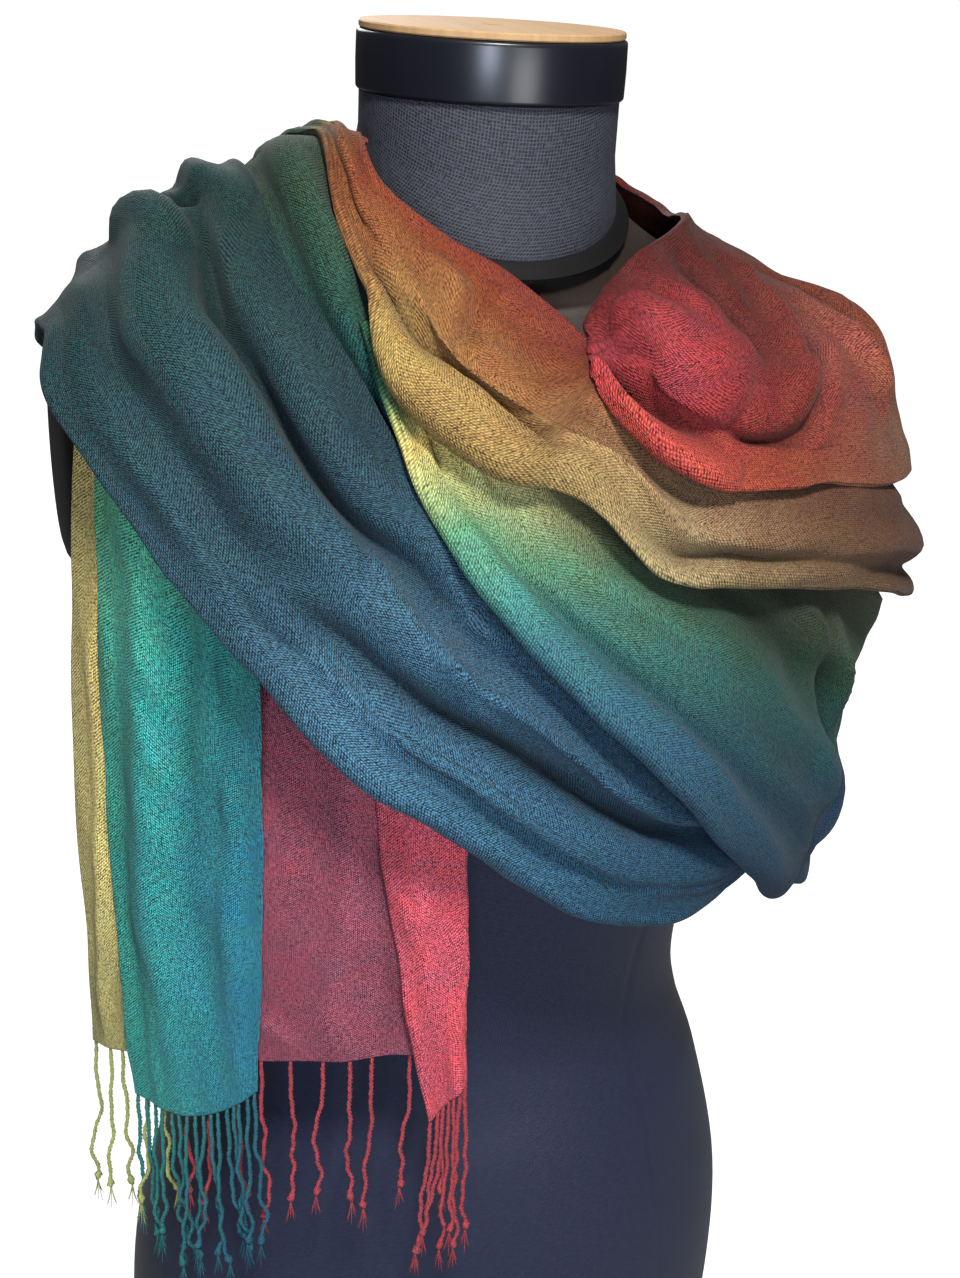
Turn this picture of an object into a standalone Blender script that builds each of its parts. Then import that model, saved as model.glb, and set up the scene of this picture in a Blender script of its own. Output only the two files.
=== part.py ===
"""A shaded, fringed shawl wound round a limbless dress form.

The form stands on its flat underside and faces -Y. Heights are above that underside.
Tables are in millimetres and the objects are in metres, +Z up.
"""

import math
from collections import namedtuple

import bmesh
import bpy
import numpy as np
from mathutils import Matrix, Vector
from mathutils.bvhtree import BVHTree

MM = 0.001

# Dress form, in millimetres
FORM_HEIGHT = 860.0
CAP_BAND_HEIGHT = 25.0
DISC_THICKNESS = 3.2
DISC_HOLE_RADIUS = 5.0
NECK_RADIUS = 58.0
NECK_FRONT_INSET = 1.5
NECK_BACK_INSET = 0.5
NECK_LEVELS = (0.0, 0.30, 0.65, 1.0)
CAP_RADIUS = 59.5
CAP_BEVEL = 1.2
DISC_RADIUS = 58.5
PLATE_CENTRE_HEIGHT = 679.0
PLATE_HALF_HEIGHT = 52.0
PLATE_HALF_WIDTH = 44.0
PLATE_INNER_X = 186.4
PLATE_THICKNESS = 9.0
PLATE_EDGE_SHARE = 0.6
PLATE_DOME_SHARE = 0.86
PLATE_BACKING = 60.0
PLATE_CLEARANCE = {-1: 0.4, 1: 3.0}
SEAT_GAP = 0.3

# Shawl cloth, in millimetres
WALL = 1.5
LAYER_GAP = 0.7
BORDER_REACH = 9.0
SHEET_REACH = 30.0
SETTLE_TURNS = 24
SMOOTH_TURNS = 14
HEM_STRIP_HEIGHT = 5.0
STRAND_LENGTH = 88.0
STRAND_WIDTH = 2.0
STRAND_SWAY = 1.6
STRAND_TAPER = 0.25
STRAND_UNEVENNESS = 0.10
STRAND_STEPS = 5
# Turn of the sway, in radians, from one strand to the next and from a root to its end
SWAY_BETWEEN = 0.8
SWAY_ALONG = 3.4

# One level ring of the form: half width, depth to the front and to the back, and how much its
# plane leans (rise in height for each millimetre towards the back)
Ring = namedtuple("Ring", "height half_width front back lean")
TORSO = [
    Ring(0.0, 168, 108, 118, 0.0),
    Ring(60.0, 175, 112, 125, 0.0),
    Ring(140.0, 180, 117, 130, 0.0),
    Ring(220.0, 175, 116, 122, 0.0),
    Ring(300.0, 154, 108, 104, 0.0),
    Ring(345.0, 137, 100, 92, 0.0),
    Ring(382.0, 130, 97, 87, 0.0),
    Ring(430.0, 134, 102, 88, 0.0),
    Ring(500.0, 149, 116, 97, 0.0),
    Ring(560.0, 162, 127, 104, 0.0),
    Ring(605.0, 172, 127, 108, 0.0),
    Ring(645.0, 182, 114, 108, 0.0),
    Ring(680.0, 186, 98, 101, 0.0),
    Ring(705.0, 184, 84, 92, 0.0),
    Ring(724.0, 172, 73, 84, 0.0),
    Ring(740.0, 148, 65, 76, 0.05),
    Ring(751.0, 122, 61, 70, 0.12),
    Ring(759.0, 102, 59, 66, 0.20),
    Ring(766.0, 88, 59, 64, 0.28),
    Ring(774.0, 76, 59, 61, 0.36),
    Ring(784.0, 66, 59, 60, 0.42),
    Ring(794.0, 60.5, 58.5, 59, 0.45),
]
TORSO_SIDES = 36
TORSO_STEPS = 26

# One section across a stretch of cloth, from its lower or outer edge to its upper or inner edge
Section = namedtuple("Section", "lower middle upper")
# One long crease: its place along and across the stretch as shares, height out of the cloth
# (minus for a trough) in millimetres, and half width as a share of the stretch's width
Fold = namedtuple("Fold", "along_from along_to across_from across_to height width")
# A neighbour that a stretch lies on (side 1) or under (side -1), between two shares of its length
Lies = namedtuple("Lies", "on side along_from along_to")

TAIL_BACK = [
    Section((-188, -50, 728), (-147, -92, 690), (-50, -140, 602)),
    Section((-196, -36, 620), (-150, -95, 590), (-50, -144, 555)),
    Section((-198, -30, 500), (-151, -95, 500), (-49, -146, 500)),
    Section((-197, -30, 430), (-150, -94, 450), (-47, -146, 455)),
    Section((-197, -28, 377), (-146, -95, 405), (-50, -145, 427)),
]
TAIL_BACK_FOLDS = [
    Fold(0.0, 1.0, 0.42, 0.34, -3.0, 0.10),
    Fold(0.2, 1.0, 0.70, 0.66, 2.5, 0.09),
]
TAIL_FLAP = [
    Section((-90, -134, 604), (-70, -142, 596), (-49, -146, 588)),
    Section((-86, -136, 560), (-66, -143, 556), (-47, -147, 552)),
    Section((-79, -138, 508), (-62, -144, 506), (-45, -148, 504)),
    Section((-70, -140, 456), (-56, -145, 457), (-43, -148, 458)),
    Section((-58, -144, 388), (-50, -147, 399), (-42, -149, 412)),
]
TAIL_FRONT = [
    Section((-187, -78, 722), (-168, -104, 692), (-134, -138, 655)),
    Section((-187, -66, 640), (-165, -97, 620), (-133, -129, 600)),
    Section((-188, -60, 550), (-163, -93, 545), (-130, -120, 540)),
    Section((-186, -60, 470), (-161, -92, 470), (-130, -118, 475)),
    Section((-182, -62, 368), (-158, -91, 372), (-133, -116, 400)),
]
TAIL_FRONT_FOLDS = [
    Fold(0.0, 1.0, 0.30, 0.38, 3.0, 0.14),
    Fold(0.1, 1.0, 0.72, 0.66, -2.5, 0.12),
]
SHOULDER_FOLD = [
    Section((-128, 58, 764), (-104, 62, 776), (-84, 62, 782)),
    Section((-128, 20, 784), (-100, 20, 796), (-75, 22, 806)),
    Section((-128, -10, 790), (-98, -18, 806), (-74, -38, 813)),
    Section((-128, -54, 776), (-102, -60, 784), (-74, -74, 780)),
    Section((-116, -92, 744), (-92, -98, 750), (-66, -104, 744)),
    Section((-102, -114, 716), (-80, -119, 721), (-56, -122, 718)),
    Section((-84, -130, 684), (-66, -133, 690), (-44, -136, 690)),
]
SHOULDER_FOLD_FOLDS = [
    Fold(0.0, 0.9, 0.55, 0.50, 5.0, 0.20),
    Fold(0.1, 0.8, 0.22, 0.20, -4.0, 0.14),
]
LOWER_SWATH = [
    Section((-138, 100, 708), (-120, 98, 738), (-98, 84, 766)),
    Section((-188, 58, 708), (-156, 68, 742), (-110, 64, 776)),
    Section((-197, 20, 726), (-158, 28, 758), (-110, 22, 792)),
    Section((-198, -40, 736), (-159, -42, 768), (-112, -28, 797)),
    Section((-199, -66, 722), (-160, -84, 746), (-110, -84, 772)),
    Section((-185, -98, 693), (-146, -112, 728), (-96, -114, 744)),
    Section((-160, -125, 660), (-122, -138, 688), (-76, -136, 710)),
    Section((-135, -140, 631), (-98, -153, 657), (-52, -147, 692)),
    Section((-101, -157, 592), (-70, -166, 622), (-22, -157, 660)),
    Section((-57, -165, 556), (-22, -171, 584), (18, -162, 625)),
    Section((-6, -160, 515), (30, -166, 536), (64, -155, 580)),
    Section((54, -146, 487), (84, -150, 513), (112, -135, 550)),
    Section((106, -116, 496), (124, -114, 514), (142, -100, 545)),
    Section((152, -52, 500), (160, -48, 522), (168, -36, 556)),
    Section((164, 8, 502), (170, 10, 530), (174, 14, 566)),
]
LOWER_SWATH_FOLDS = [
    Fold(0.02, 0.40, 0.60, 0.52, 7.0, 0.12),
    Fold(0.10, 0.66, 0.78, 0.62, -6.0, 0.09),
    Fold(0.16, 0.58, 0.46, 0.40, 5.0, 0.12),
    Fold(0.40, 0.76, 0.22, 0.34, -6.0, 0.09),
    Fold(0.62, 0.86, 0.60, 0.62, -9.0, 0.12),
    Fold(0.05, 0.34, 0.24, 0.20, 4.0, 0.12),
]
BACK_SWATH = [
    Section((190, -8, 484), (201, -8, 530), (206, -6, 592)),
    Section((182, 40, 490), (192, 42, 540), (196, 42, 606)),
    Section((146, 88, 512), (154, 90, 562), (156, 86, 636)),
    Section((76, 106, 552), (84, 110, 604), (86, 106, 676)),
    Section((-6, 106, 600), (0, 112, 652), (4, 104, 714)),
    Section((-86, 98, 650), (-78, 102, 702), (-72, 94, 748)),
    Section((-140, 84, 700), (-126, 86, 738), (-106, 78, 766)),
    Section((-166, 54, 712), (-144, 60, 746), (-114, 56, 768)),
]
BACK_SWATH_FOLDS = [
    Fold(0.15, 0.95, 0.30, 0.36, 5.0, 0.10),
    Fold(0.10, 0.90, 0.55, 0.58, -5.0, 0.09),
]
SIDE_LOOP = [
    Section((124, -116, 478), (130, -116, 498), (138, -112, 532)),
    Section((150, -98, 456), (164, -92, 482), (172, -84, 532)),
    Section((170, -72, 448), (188, -62, 486), (197, -54, 562)),
    Section((180, -38, 450), (197, -30, 500), (205, -24, 588)),
    Section((180, 16, 470), (196, 18, 530), (202, 20, 600)),
]
FRONT_PANEL = [
    Section((-88, -100, 752), (-76, -104, 752), (-60, -106, 752)),
    Section((-82, -126, 716), (-64, -127, 722), (-44, -126, 728)),
    Section((-71, -141, 690), (-46, -143, 706), (-20, -134, 718)),
    Section((-51, -153, 662), (-26, -155, 681), (2, -144, 700)),
    Section((-29, -163, 634), (6, -161, 653), (38, -147, 684)),
    Section((22, -167, 584), (56, -163, 617), (84, -144, 664)),
    Section((72, -150, 530), (98, -154, 574), (122, -136, 645)),
    Section((108, -130, 486), (128, -138, 540), (158, -112, 628)),
    Section((130, -116, 472), (142, -122, 532), (184, -92, 612)),
    Section((143, -106, 474), (146, -112, 528), (198, -72, 602)),
]
FRONT_PANEL_FOLDS = [
    Fold(0.15, 0.95, 0.06, 0.05, 4.0, 0.10),
    Fold(0.30, 0.90, 0.42, 0.36, 3.0, 0.16),
    Fold(0.55, 1.00, 0.66, 0.70, -5.0, 0.12),
]
MIDDLE_BAND = [
    Section((-104, 56, 800), (-86, 60, 806), (-68, 58, 808)),
    Section((-92, 20, 815), (-78, 18, 821), (-66, 20, 814)),
    Section((-87, -28, 815), (-74, -26, 821), (-64, -24, 812)),
    Section((-87, -70, 785), (-74, -66, 791), (-63, -58, 795)),
    Section((-82, -100, 755), (-61, -93, 769), (-42, -83, 781)),
    Section((-71, -122, 726), (-45, -114, 747), (-16, -99, 765)),
    Section((-47, -141, 706), (-20, -130, 729), (6, -113, 747)),
    Section((-8, -153, 692), (4, -140, 716), (24, -121, 734)),
    Section((24, -158, 662), (36, -150, 690), (48, -131, 718)),
    Section((58, -157, 655), (70, -150, 680), (80, -133, 704)),
    Section((126, -139, 640), (126, -134, 668), (122, -117, 700)),
    Section((188, -90, 612), (182, -88, 650), (168, -80, 692)),
    Section((216, -20, 592), (216, -18, 628), (198, -16, 672)),
    Section((204, 50, 600), (204, 50, 640), (186, 50, 690)),
]
MIDDLE_BAND_FOLDS = [
    Fold(0.28, 0.62, 0.08, 0.10, 8.0, 0.13),
    Fold(0.30, 0.58, 0.30, 0.28, -6.0, 0.10),
    Fold(0.20, 0.50, 0.58, 0.62, 3.0, 0.14),
    Fold(0.60, 0.98, 0.50, 0.46, 5.0, 0.16),
]
BACK_WRAP = [
    Section((212, 10, 590), (212, 12, 632), (196, 14, 684)),
    Section((212, 52, 590), (210, 54, 642), (190, 56, 700)),
    Section((168, 102, 612), (162, 104, 670), (142, 96, 726)),
    Section((90, 122, 648), (88, 124, 704), (82, 110, 754)),
    Section((2, 126, 682), (2, 124, 733), (2, 108, 777)),
    Section((-64, 114, 714), (-58, 108, 756), (-52, 90, 790)),
    Section((-112, 88, 748), (-98, 82, 776), (-78, 68, 798)),
    Section((-124, 52, 772), (-108, 50, 786), (-86, 46, 796)),
]
BACK_WRAP_FOLDS = [
    Fold(0.05, 0.95, 0.22, 0.26, 6.0, 0.10),
    Fold(0.10, 0.90, 0.46, 0.50, -6.0, 0.10),
    Fold(0.15, 0.85, 0.70, 0.72, 5.0, 0.10),
]
NECK_COWL = [
    Section((0, -128, 732), (2, -121, 741), (5, -110, 750)),
    Section((10, -140, 712), (20, -124, 742), (20, -98, 763)),
    Section((34, -150, 697), (46, -128, 736), (40, -84, 776)),
    Section((60, -152, 690), (76, -122, 724), (64, -62, 782)),
    Section((96, -142, 690), (110, -110, 722), (80, -36, 782)),
    Section((148, -118, 678), (146, -82, 722), (93, -12, 778)),
    Section((194, -74, 668), (182, -40, 713), (101, 16, 774)),
    Section((216, -6, 652), (206, 14, 706), (106, 46, 774)),
    Section((206, 62, 664), (178, 70, 720), (92, 74, 785)),
    Section((128, 112, 716), (104, 96, 762), (66, 86, 796)),
    Section((50, 124, 740), (40, 106, 778), (28, 90, 803)),
    Section((-22, 118, 760), (-20, 100, 789), (-16, 84, 808)),
    Section((-74, 92, 780), (-64, 81, 796), (-53, 67, 810)),
    Section((-94, 52, 797), (-83, 47, 804), (-69, 41, 805)),
]
NECK_COWL_FOLDS = [
    Fold(0.06, 0.42, 0.62, 0.40, 8.0, 0.14),
    Fold(0.08, 0.34, 0.30, 0.24, -8.0, 0.11),
    Fold(0.34, 0.62, 0.50, 0.46, 6.0, 0.14),
    Fold(0.36, 0.80, 0.26, 0.24, -5.0, 0.10),
    Fold(0.55, 0.95, 0.62, 0.60, 5.0, 0.14),
]

Finish = namedtuple("Finish", "red green blue roughness metallic")
JERSEY = Finish(0.020, 0.023, 0.045, 0.85, 0.0)
NET = Finish(0.030, 0.034, 0.050, 0.80, 0.0)
SATIN = Finish(0.014, 0.014, 0.026, 0.35, 0.0)
WOOD = Finish(0.52, 0.34, 0.18, 0.60, 0.0)
PLATE = Finish(0.022, 0.014, 0.014, 0.25, 0.0)
TEAL_CLOTH = Finish(0.020, 0.16, 0.15, 0.75, 0.0)
SLATE_CLOTH = Finish(0.018, 0.045, 0.060, 0.75, 0.0)
GREEN_CLOTH = Finish(0.025, 0.090, 0.070, 0.75, 0.0)
PANEL_CLOTH = Finish(0.060, 0.17, 0.15, 0.75, 0.0)
GOLD_CLOTH = Finish(0.36, 0.21, 0.07, 0.75, 0.0)
RED_CLOTH = Finish(0.34, 0.045, 0.045, 0.75, 0.0)
DUSKY_CLOTH = Finish(0.26, 0.050, 0.070, 0.75, 0.0)
BRIGHT_RED_CLOTH = Finish(0.48, 0.060, 0.060, 0.75, 0.0)

built = {}


def clear_scene():
    for thing in list(bpy.data.objects):
        bpy.data.objects.remove(thing, do_unlink=True)


def material_for(name, finish):
    """One Principled finish for one sub-part."""
    made = bpy.data.materials.new(name + "_finish")
    made.use_nodes = True
    shader = made.node_tree.nodes["Principled BSDF"]
    shader.inputs["Base Color"].default_value = (finish.red, finish.green, finish.blue, 1.0)
    shader.inputs["Roughness"].default_value = finish.roughness
    shader.inputs["Metallic"].default_value = finish.metallic
    made.diffuse_color = (finish.red, finish.green, finish.blue, 1.0)
    return made


def add_object(name, points_mm, faces, finish, smooth=True):
    """Make a mesh object in metres from points in millimetres."""
    mesh = bpy.data.meshes.new(name)
    mesh.from_pydata([tuple(float(c) * MM for c in p) for p in points_mm], [], faces)
    mesh.materials.append(material_for(name, finish))
    if smooth:
        mesh.shade_smooth()
        mesh.set_sharp_from_angle(angle=math.radians(40.0))
    made = bpy.data.objects.new(name, mesh)
    bpy.context.scene.collection.objects.link(made)
    return made


def spline(rows, shares):
    """Read a smooth curve through equal steps of rows at shares from 0 to 1."""
    rows = np.asarray(rows, float)
    last = len(rows) - 1
    padded = np.concatenate([[2 * rows[0] - rows[1]], rows, [2 * rows[-1] - rows[-2]]])
    out = []
    for share in shares:
        place = min(max(share, 0.0), 1.0) * last
        step = min(int(place), last - 1)
        t = place - step
        a, b, c, d = padded[step:step + 4]
        out.append(0.5 * (2 * b + (c - a) * t + (2 * a - 5 * b + 4 * c - d) * t * t
                          + (3 * b - a - 3 * c + d) * t ** 3))
    return np.array(out)


def loft(name, rings, finish):
    """Close a stack of equal rings into one solid with flat ends."""
    sides = len(rings[0])
    points = [p for ring in rings for p in ring]
    faces = []
    for level in range(len(rings) - 1):
        low = level * sides
        for i in range(sides):
            j = (i + 1) % sides
            faces.append((low + i, low + j, low + sides + j, low + sides + i))
    faces.append(tuple(reversed(range(sides))))
    faces.append(tuple(range(len(points) - sides, len(points))))
    return add_object(name, points, faces, finish)


def body_ring(ring, sides):
    """Points of one form ring, anticlockwise from the wearer's left (+X)."""
    points = []
    for i in range(sides):
        turn = 2.0 * math.pi * i / sides
        x = ring.half_width * math.cos(turn)
        y = (ring.back if math.sin(turn) > 0 else ring.front) * math.sin(turn)
        points.append((x, y, ring.height + ring.lean * y))
    return points


def build_torso():
    table = np.array([tuple(row) for row in TORSO], float)
    shares = np.linspace(0.0, 1.0, TORSO_STEPS)
    rings = [body_ring(Ring(*values), TORSO_SIDES) for values in spline(table, shares)]
    rings[-1] = body_ring(TORSO[-1], TORSO_SIDES)
    return loft("torso", rings, JERSEY)


def build_neck():
    """The neck stands on the torso's leaning top and ends level under the cap."""
    top = FORM_HEIGHT - DISC_THICKNESS - CAP_BAND_HEIGHT - 2 * SEAT_GAP
    foot = TORSO[-1]
    foot = foot._replace(height=foot.height + SEAT_GAP)
    rings = []
    for share in NECK_LEVELS:
        height = foot.height + (top - foot.height) * share
        radius = foot.half_width + (NECK_RADIUS - foot.half_width) * min(1.0, 2 * share)
        rings.append(body_ring(Ring(height, radius, radius - NECK_FRONT_INSET,
                                    radius - NECK_BACK_INSET, foot.lean * (1 - share)),
                               TORSO_SIDES))
    rings[0] = body_ring(foot, TORSO_SIDES)
    return loft("neck", rings, NET)


def build_cap():
    low = FORM_HEIGHT - DISC_THICKNESS - SEAT_GAP - CAP_BAND_HEIGHT
    rings = []
    for height, radius in ((0.0, CAP_RADIUS - CAP_BEVEL), (CAP_BEVEL, CAP_RADIUS),
                           (CAP_BAND_HEIGHT - CAP_BEVEL, CAP_RADIUS),
                           (CAP_BAND_HEIGHT, CAP_RADIUS - CAP_BEVEL)):
        rings.append(body_ring(Ring(low + height, radius, radius, radius, 0.0), TORSO_SIDES))
    return loft("neck_cap", rings, SATIN)


def build_disc():
    """A thin wooden disc with a stand's hole in its middle, on top of the cap."""
    mesh = bmesh.new()
    low = FORM_HEIGHT - DISC_THICKNESS
    loops = []
    for radius, height in ((DISC_HOLE_RADIUS, low), (DISC_RADIUS, low),
                           (DISC_RADIUS, FORM_HEIGHT), (DISC_HOLE_RADIUS, FORM_HEIGHT)):
        ring = Ring(height, radius, radius, radius, 0.0)
        loops.append([mesh.verts.new(p) for p in body_ring(ring, TORSO_SIDES)])
    for a, b in zip(loops, loops[1:] + loops[:1]):
        for i in range(TORSO_SIDES):
            j = (i + 1) % TORSO_SIDES
            mesh.faces.new((a[i], b[i], b[j], a[j]))
    bmesh.ops.recalc_face_normals(mesh, faces=mesh.faces)
    mesh.verts.index_update()
    points = [tuple(v.co) for v in mesh.verts]
    faces = [tuple(v.index for v in f.verts) for f in mesh.faces]
    mesh.free()
    return add_object("neck_disc", points, faces, WOOD)


def plate_rings(side, inner_x=PLATE_INNER_X, grown=0.0):
    """Rings of a domed oval plate that closes one armhole."""
    rings = []
    for depth, share in ((inner_x - PLATE_INNER_X, 1.0),
                         (PLATE_THICKNESS * PLATE_EDGE_SHARE, 1.0),
                         (PLATE_THICKNESS, PLATE_DOME_SHARE)):
        wide = PLATE_HALF_WIDTH * share + grown
        tall = PLATE_HALF_HEIGHT * share + grown
        ring = []
        for i in range(TORSO_SIDES):
            turn = side * 2.0 * math.pi * i / TORSO_SIDES
            ring.append((side * (PLATE_INNER_X + depth), wide * math.cos(turn),
                         PLATE_CENTRE_HEIGHT + tall * math.sin(turn)))
        rings.append(ring)
    return rings


def form_tree(pieces):
    """A search tree of the form, with its arm plates carried inwards so that no gap shows."""
    points = []
    faces = []
    for piece in pieces:
        first = len(points)
        points += [v.co / MM for v in piece.data.vertices]
        faces += [tuple(first + k for k in p.vertices) for p in piece.data.polygons]
    for side in (-1, 1):
        for ring in plate_rings(side, PLATE_INNER_X - PLATE_BACKING, PLATE_CLEARANCE[side]):
            points += [Vector(p) for p in ring]
        first = len(points) - 3 * TORSO_SIDES
        for level in (0, TORSO_SIDES):
            for i in range(TORSO_SIDES):
                j = (i + 1) % TORSO_SIDES
                corners = (i, j, TORSO_SIDES + j, TORSO_SIDES + i)
                faces.append(tuple(first + level + k for k in corners))
        faces.append(tuple(first + 2 * TORSO_SIDES + k for k in range(TORSO_SIDES)))
    return BVHTree.FromPolygons(points, faces)


def lay_grid(sections, folds, along, across):
    """Points of a stretch's inner face before it is settled on its neighbours."""
    u = np.linspace(0.0, 1.0, along + 1)
    v = np.linspace(0.0, 1.0, across + 1)
    lower = spline([s.lower for s in sections], u)
    middle = spline([s.middle for s in sections], u)
    upper = spline([s.upper for s in sections], u)
    grid = np.zeros((along + 1, across + 1, 3))
    for j, w in enumerate(v):
        grid[:, j] = (lower * (1 - w) * (1 - 2 * w) + middle * 4 * w * (1 - w)
                      + upper * w * (2 * w - 1))
    normal = grid_normals(grid)
    for fold in folds:
        place = (u - fold.along_from) / (fold.along_to - fold.along_from)
        fade = np.where((place > 0) & (place < 1), np.sin(np.pi * np.clip(place, 0, 1)) ** 0.7, 0)
        centre = fold.across_from + (fold.across_to - fold.across_from) * place
        shape = np.exp(-((v[None, :] - centre[:, None]) / fold.width) ** 2)
        grid += normal * (fold.height * fade[:, None] * shape)[:, :, None]
    return grid


def grid_normals(grid):
    """Outward unit normals of a grid of points."""
    normal = np.cross(np.gradient(grid, axis=0), np.gradient(grid, axis=1))
    return normal / np.linalg.norm(normal, axis=2, keepdims=True)


def neighbour_mean(field):
    """The mean of each grid value's four neighbours."""
    padded = np.pad(field, ((1, 1), (1, 1), (0, 0)), mode="edge")
    return (padded[:-2, 1:-1] + padded[2:, 1:-1] + padded[1:-1, :-2] + padded[1:-1, 2:]) / 4.0


def shortfall(point, neighbour, lie):
    """How far and which way a point has to move to clear one neighbour."""
    if isinstance(neighbour, dict):
        tree = neighbour["outer"] if lie.side > 0 else neighbour["inner"]
        reach = BORDER_REACH
    else:
        tree = neighbour
        reach = SHEET_REACH
    found = tree.find_nearest(point, SHEET_REACH)
    if found[0] is None:
        return None
    away = point - found[0]
    side = away.dot(found[1])
    if (away - found[1] * side).length > reach:
        return None
    need = LAYER_GAP - side if lie.side > 0 else LAYER_GAP + WALL + side
    if need <= 0:
        return None
    return found[1] * (need * lie.side)


def settle(grid, lies):
    """Move a grid clear of the form and of the stretches that it lies on or under."""
    rest = grid.copy()
    rows, columns = grid.shape[:2]
    shift = np.zeros_like(grid)
    for turn in range(SETTLE_TURNS):
        now = rest + shift
        samples = {}
        for i in range(2 * rows - 1):
            for j in range(2 * columns - 1):
                corners = {(i // 2, j // 2), ((i + 1) // 2, j // 2),
                           (i // 2, (j + 1) // 2), ((i + 1) // 2, (j + 1) // 2)}
                point = Vector(np.mean([now[c] for c in corners], axis=0))
                samples[i, j] = (corners, point)
        moved = 0
        push = np.zeros_like(grid)
        for (i, j), (corners, point) in samples.items():
            share = i / (2.0 * rows - 2)
            for lie in lies:
                if not lie.along_from <= share <= lie.along_to:
                    continue
                need = shortfall(point, built[lie.on], lie)
                if need is None:
                    continue
                moved += 1
                for corner in corners:
                    if need.length > np.linalg.norm(push[corner]):
                        push[corner] = need
        shift += push
        if moved == 0:
            break
        if turn < SMOOTH_TURNS:
            shift = 0.5 * shift + 0.5 * neighbour_mean(shift)
    return rest + shift


def build_cloth(name, sections, folds, along, across, lies, finish):
    """Settle one stretch on its neighbours and give it its wall."""
    lies = [Lies("form", 1, 0.0, 1.0)] + lies
    inner = settle(lay_grid(sections, folds, along, across), lies)
    outer = inner + grid_normals(inner) * WALL
    rows, columns = inner.shape[:2]
    quads = [(i * columns + j, (i + 1) * columns + j, (i + 1) * columns + j + 1,
              i * columns + j + 1) for i in range(rows - 1) for j in range(columns - 1)]
    count = rows * columns
    points = [Vector(p) for p in inner.reshape(-1, 3)] + [Vector(p) for p in outer.reshape(-1, 3)]
    border = [i * columns for i in range(rows)]
    border += [(rows - 1) * columns + j for j in range(1, columns)]
    border += [i * columns + columns - 1 for i in range(rows - 2, -1, -1)]
    border += [j for j in range(columns - 2, 0, -1)]
    faces = [tuple(reversed(q)) for q in quads]
    faces += [tuple(k + count for k in q) for q in quads]
    for a, b in zip(border, border[1:] + border[:1]):
        faces.append((a, b, b + count, a + count))
    made = add_object(name, points, faces, finish)
    outward = BVHTree.FromPolygons(points[count:], quads)
    inward = BVHTree.FromPolygons(points[:count], quads)
    built[name] = {"outer": outward, "inner": inward, "inner_grid": inner, "outer_grid": outer}
    return made


def build_fringe(name, cloth, count, from_share, to_share, finish):
    """A hem strip with strands whose roots are faces of the strip."""
    inner = built[cloth]["inner_grid"][-1]
    outer = built[cloth]["outer_grid"][-1]
    marks = np.linspace(0.0, 1.0, len(inner))
    run = np.concatenate([[0.0], np.cumsum(np.linalg.norm(np.diff(inner, axis=0), axis=1))])
    half = 0.5 * STRAND_WIDTH / run[-1]
    roots = np.linspace(from_share, to_share, count)
    cuts = sorted([0.0, 1.0] + [r - half for r in roots] + [r + half for r in roots])
    kept = [m for m in marks[1:-1] if min(abs(m - r) for r in roots) > 2 * half]
    cuts = sorted(set(cuts + kept))
    starts = {round(r - half, 9) for r in roots}

    def hem(line, share):
        length = share * run[-1]
        return np.array([np.interp(length, run, line[:, k]) for k in range(3)])

    down = np.array([0.0, 0.0, -1.0])
    points = []
    for cut in cuts:
        for depth in (SEAT_GAP, SEAT_GAP + HEM_STRIP_HEIGHT):
            points.append(hem(inner, cut) + down * depth)
            points.append(hem(outer, cut) + down * depth)
    faces = [(0, 2, 3, 1), tuple(4 * (len(cuts) - 1) + k for k in (0, 1, 3, 2))]
    strand = 0
    for i in range(len(cuts) - 1):
        a, b = 4 * i, 4 * (i + 1)
        faces += [(a, a + 1, b + 1, b), (a, b, b + 2, a + 2), (a + 1, a + 3, b + 3, b + 1)]
        root = (a + 2, b + 2, b + 3, a + 3)
        if round(cuts[i], 9) not in starts:
            faces.append(root)
            continue
        foot = root
        middle = np.mean([points[corner] for corner in root], axis=0)
        along = (points[b + 2] - points[a + 2]) / np.linalg.norm(points[b + 2] - points[a + 2])
        length = STRAND_LENGTH * (1.0 + STRAND_UNEVENNESS * math.sin(2.1 * strand + 0.7))
        for step in range(1, STRAND_STEPS + 1):
            share = step / STRAND_STEPS
            sway = STRAND_SWAY * math.sin(SWAY_BETWEEN * strand + SWAY_ALONG * share) * share
            base = len(points)
            for corner in root:
                spread = (points[corner] - middle) * (1.0 - STRAND_TAPER * share)
                points.append(middle + spread + down * length * share + along * sway)
            ring = tuple(range(base, base + 4))
            for k in range(4):
                m = (k + 1) % 4
                faces.append((foot[k], foot[m], ring[m], ring[k]))
            foot = ring
        faces.append(foot)
        strand += 1
    made = add_object(name, points, faces, finish, smooth=False)
    mesh = bmesh.new()
    mesh.from_mesh(made.data)
    bmesh.ops.recalc_face_normals(mesh, faces=mesh.faces)
    mesh.to_mesh(made.data)
    mesh.free()
    return made


def centre_on_footprint():
    """Move everything so that the origin is below the middle of the whole part's box."""
    solids = [thing for thing in bpy.data.objects if thing.type == "MESH"]
    corners = np.array([tuple(v.co) for thing in solids for v in thing.data.vertices])
    middle = (corners.min(axis=0) + corners.max(axis=0)) / 2.0
    for thing in solids:
        thing.data.transform(Matrix.Translation((-middle[0], -middle[1], 0.0)))


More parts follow.
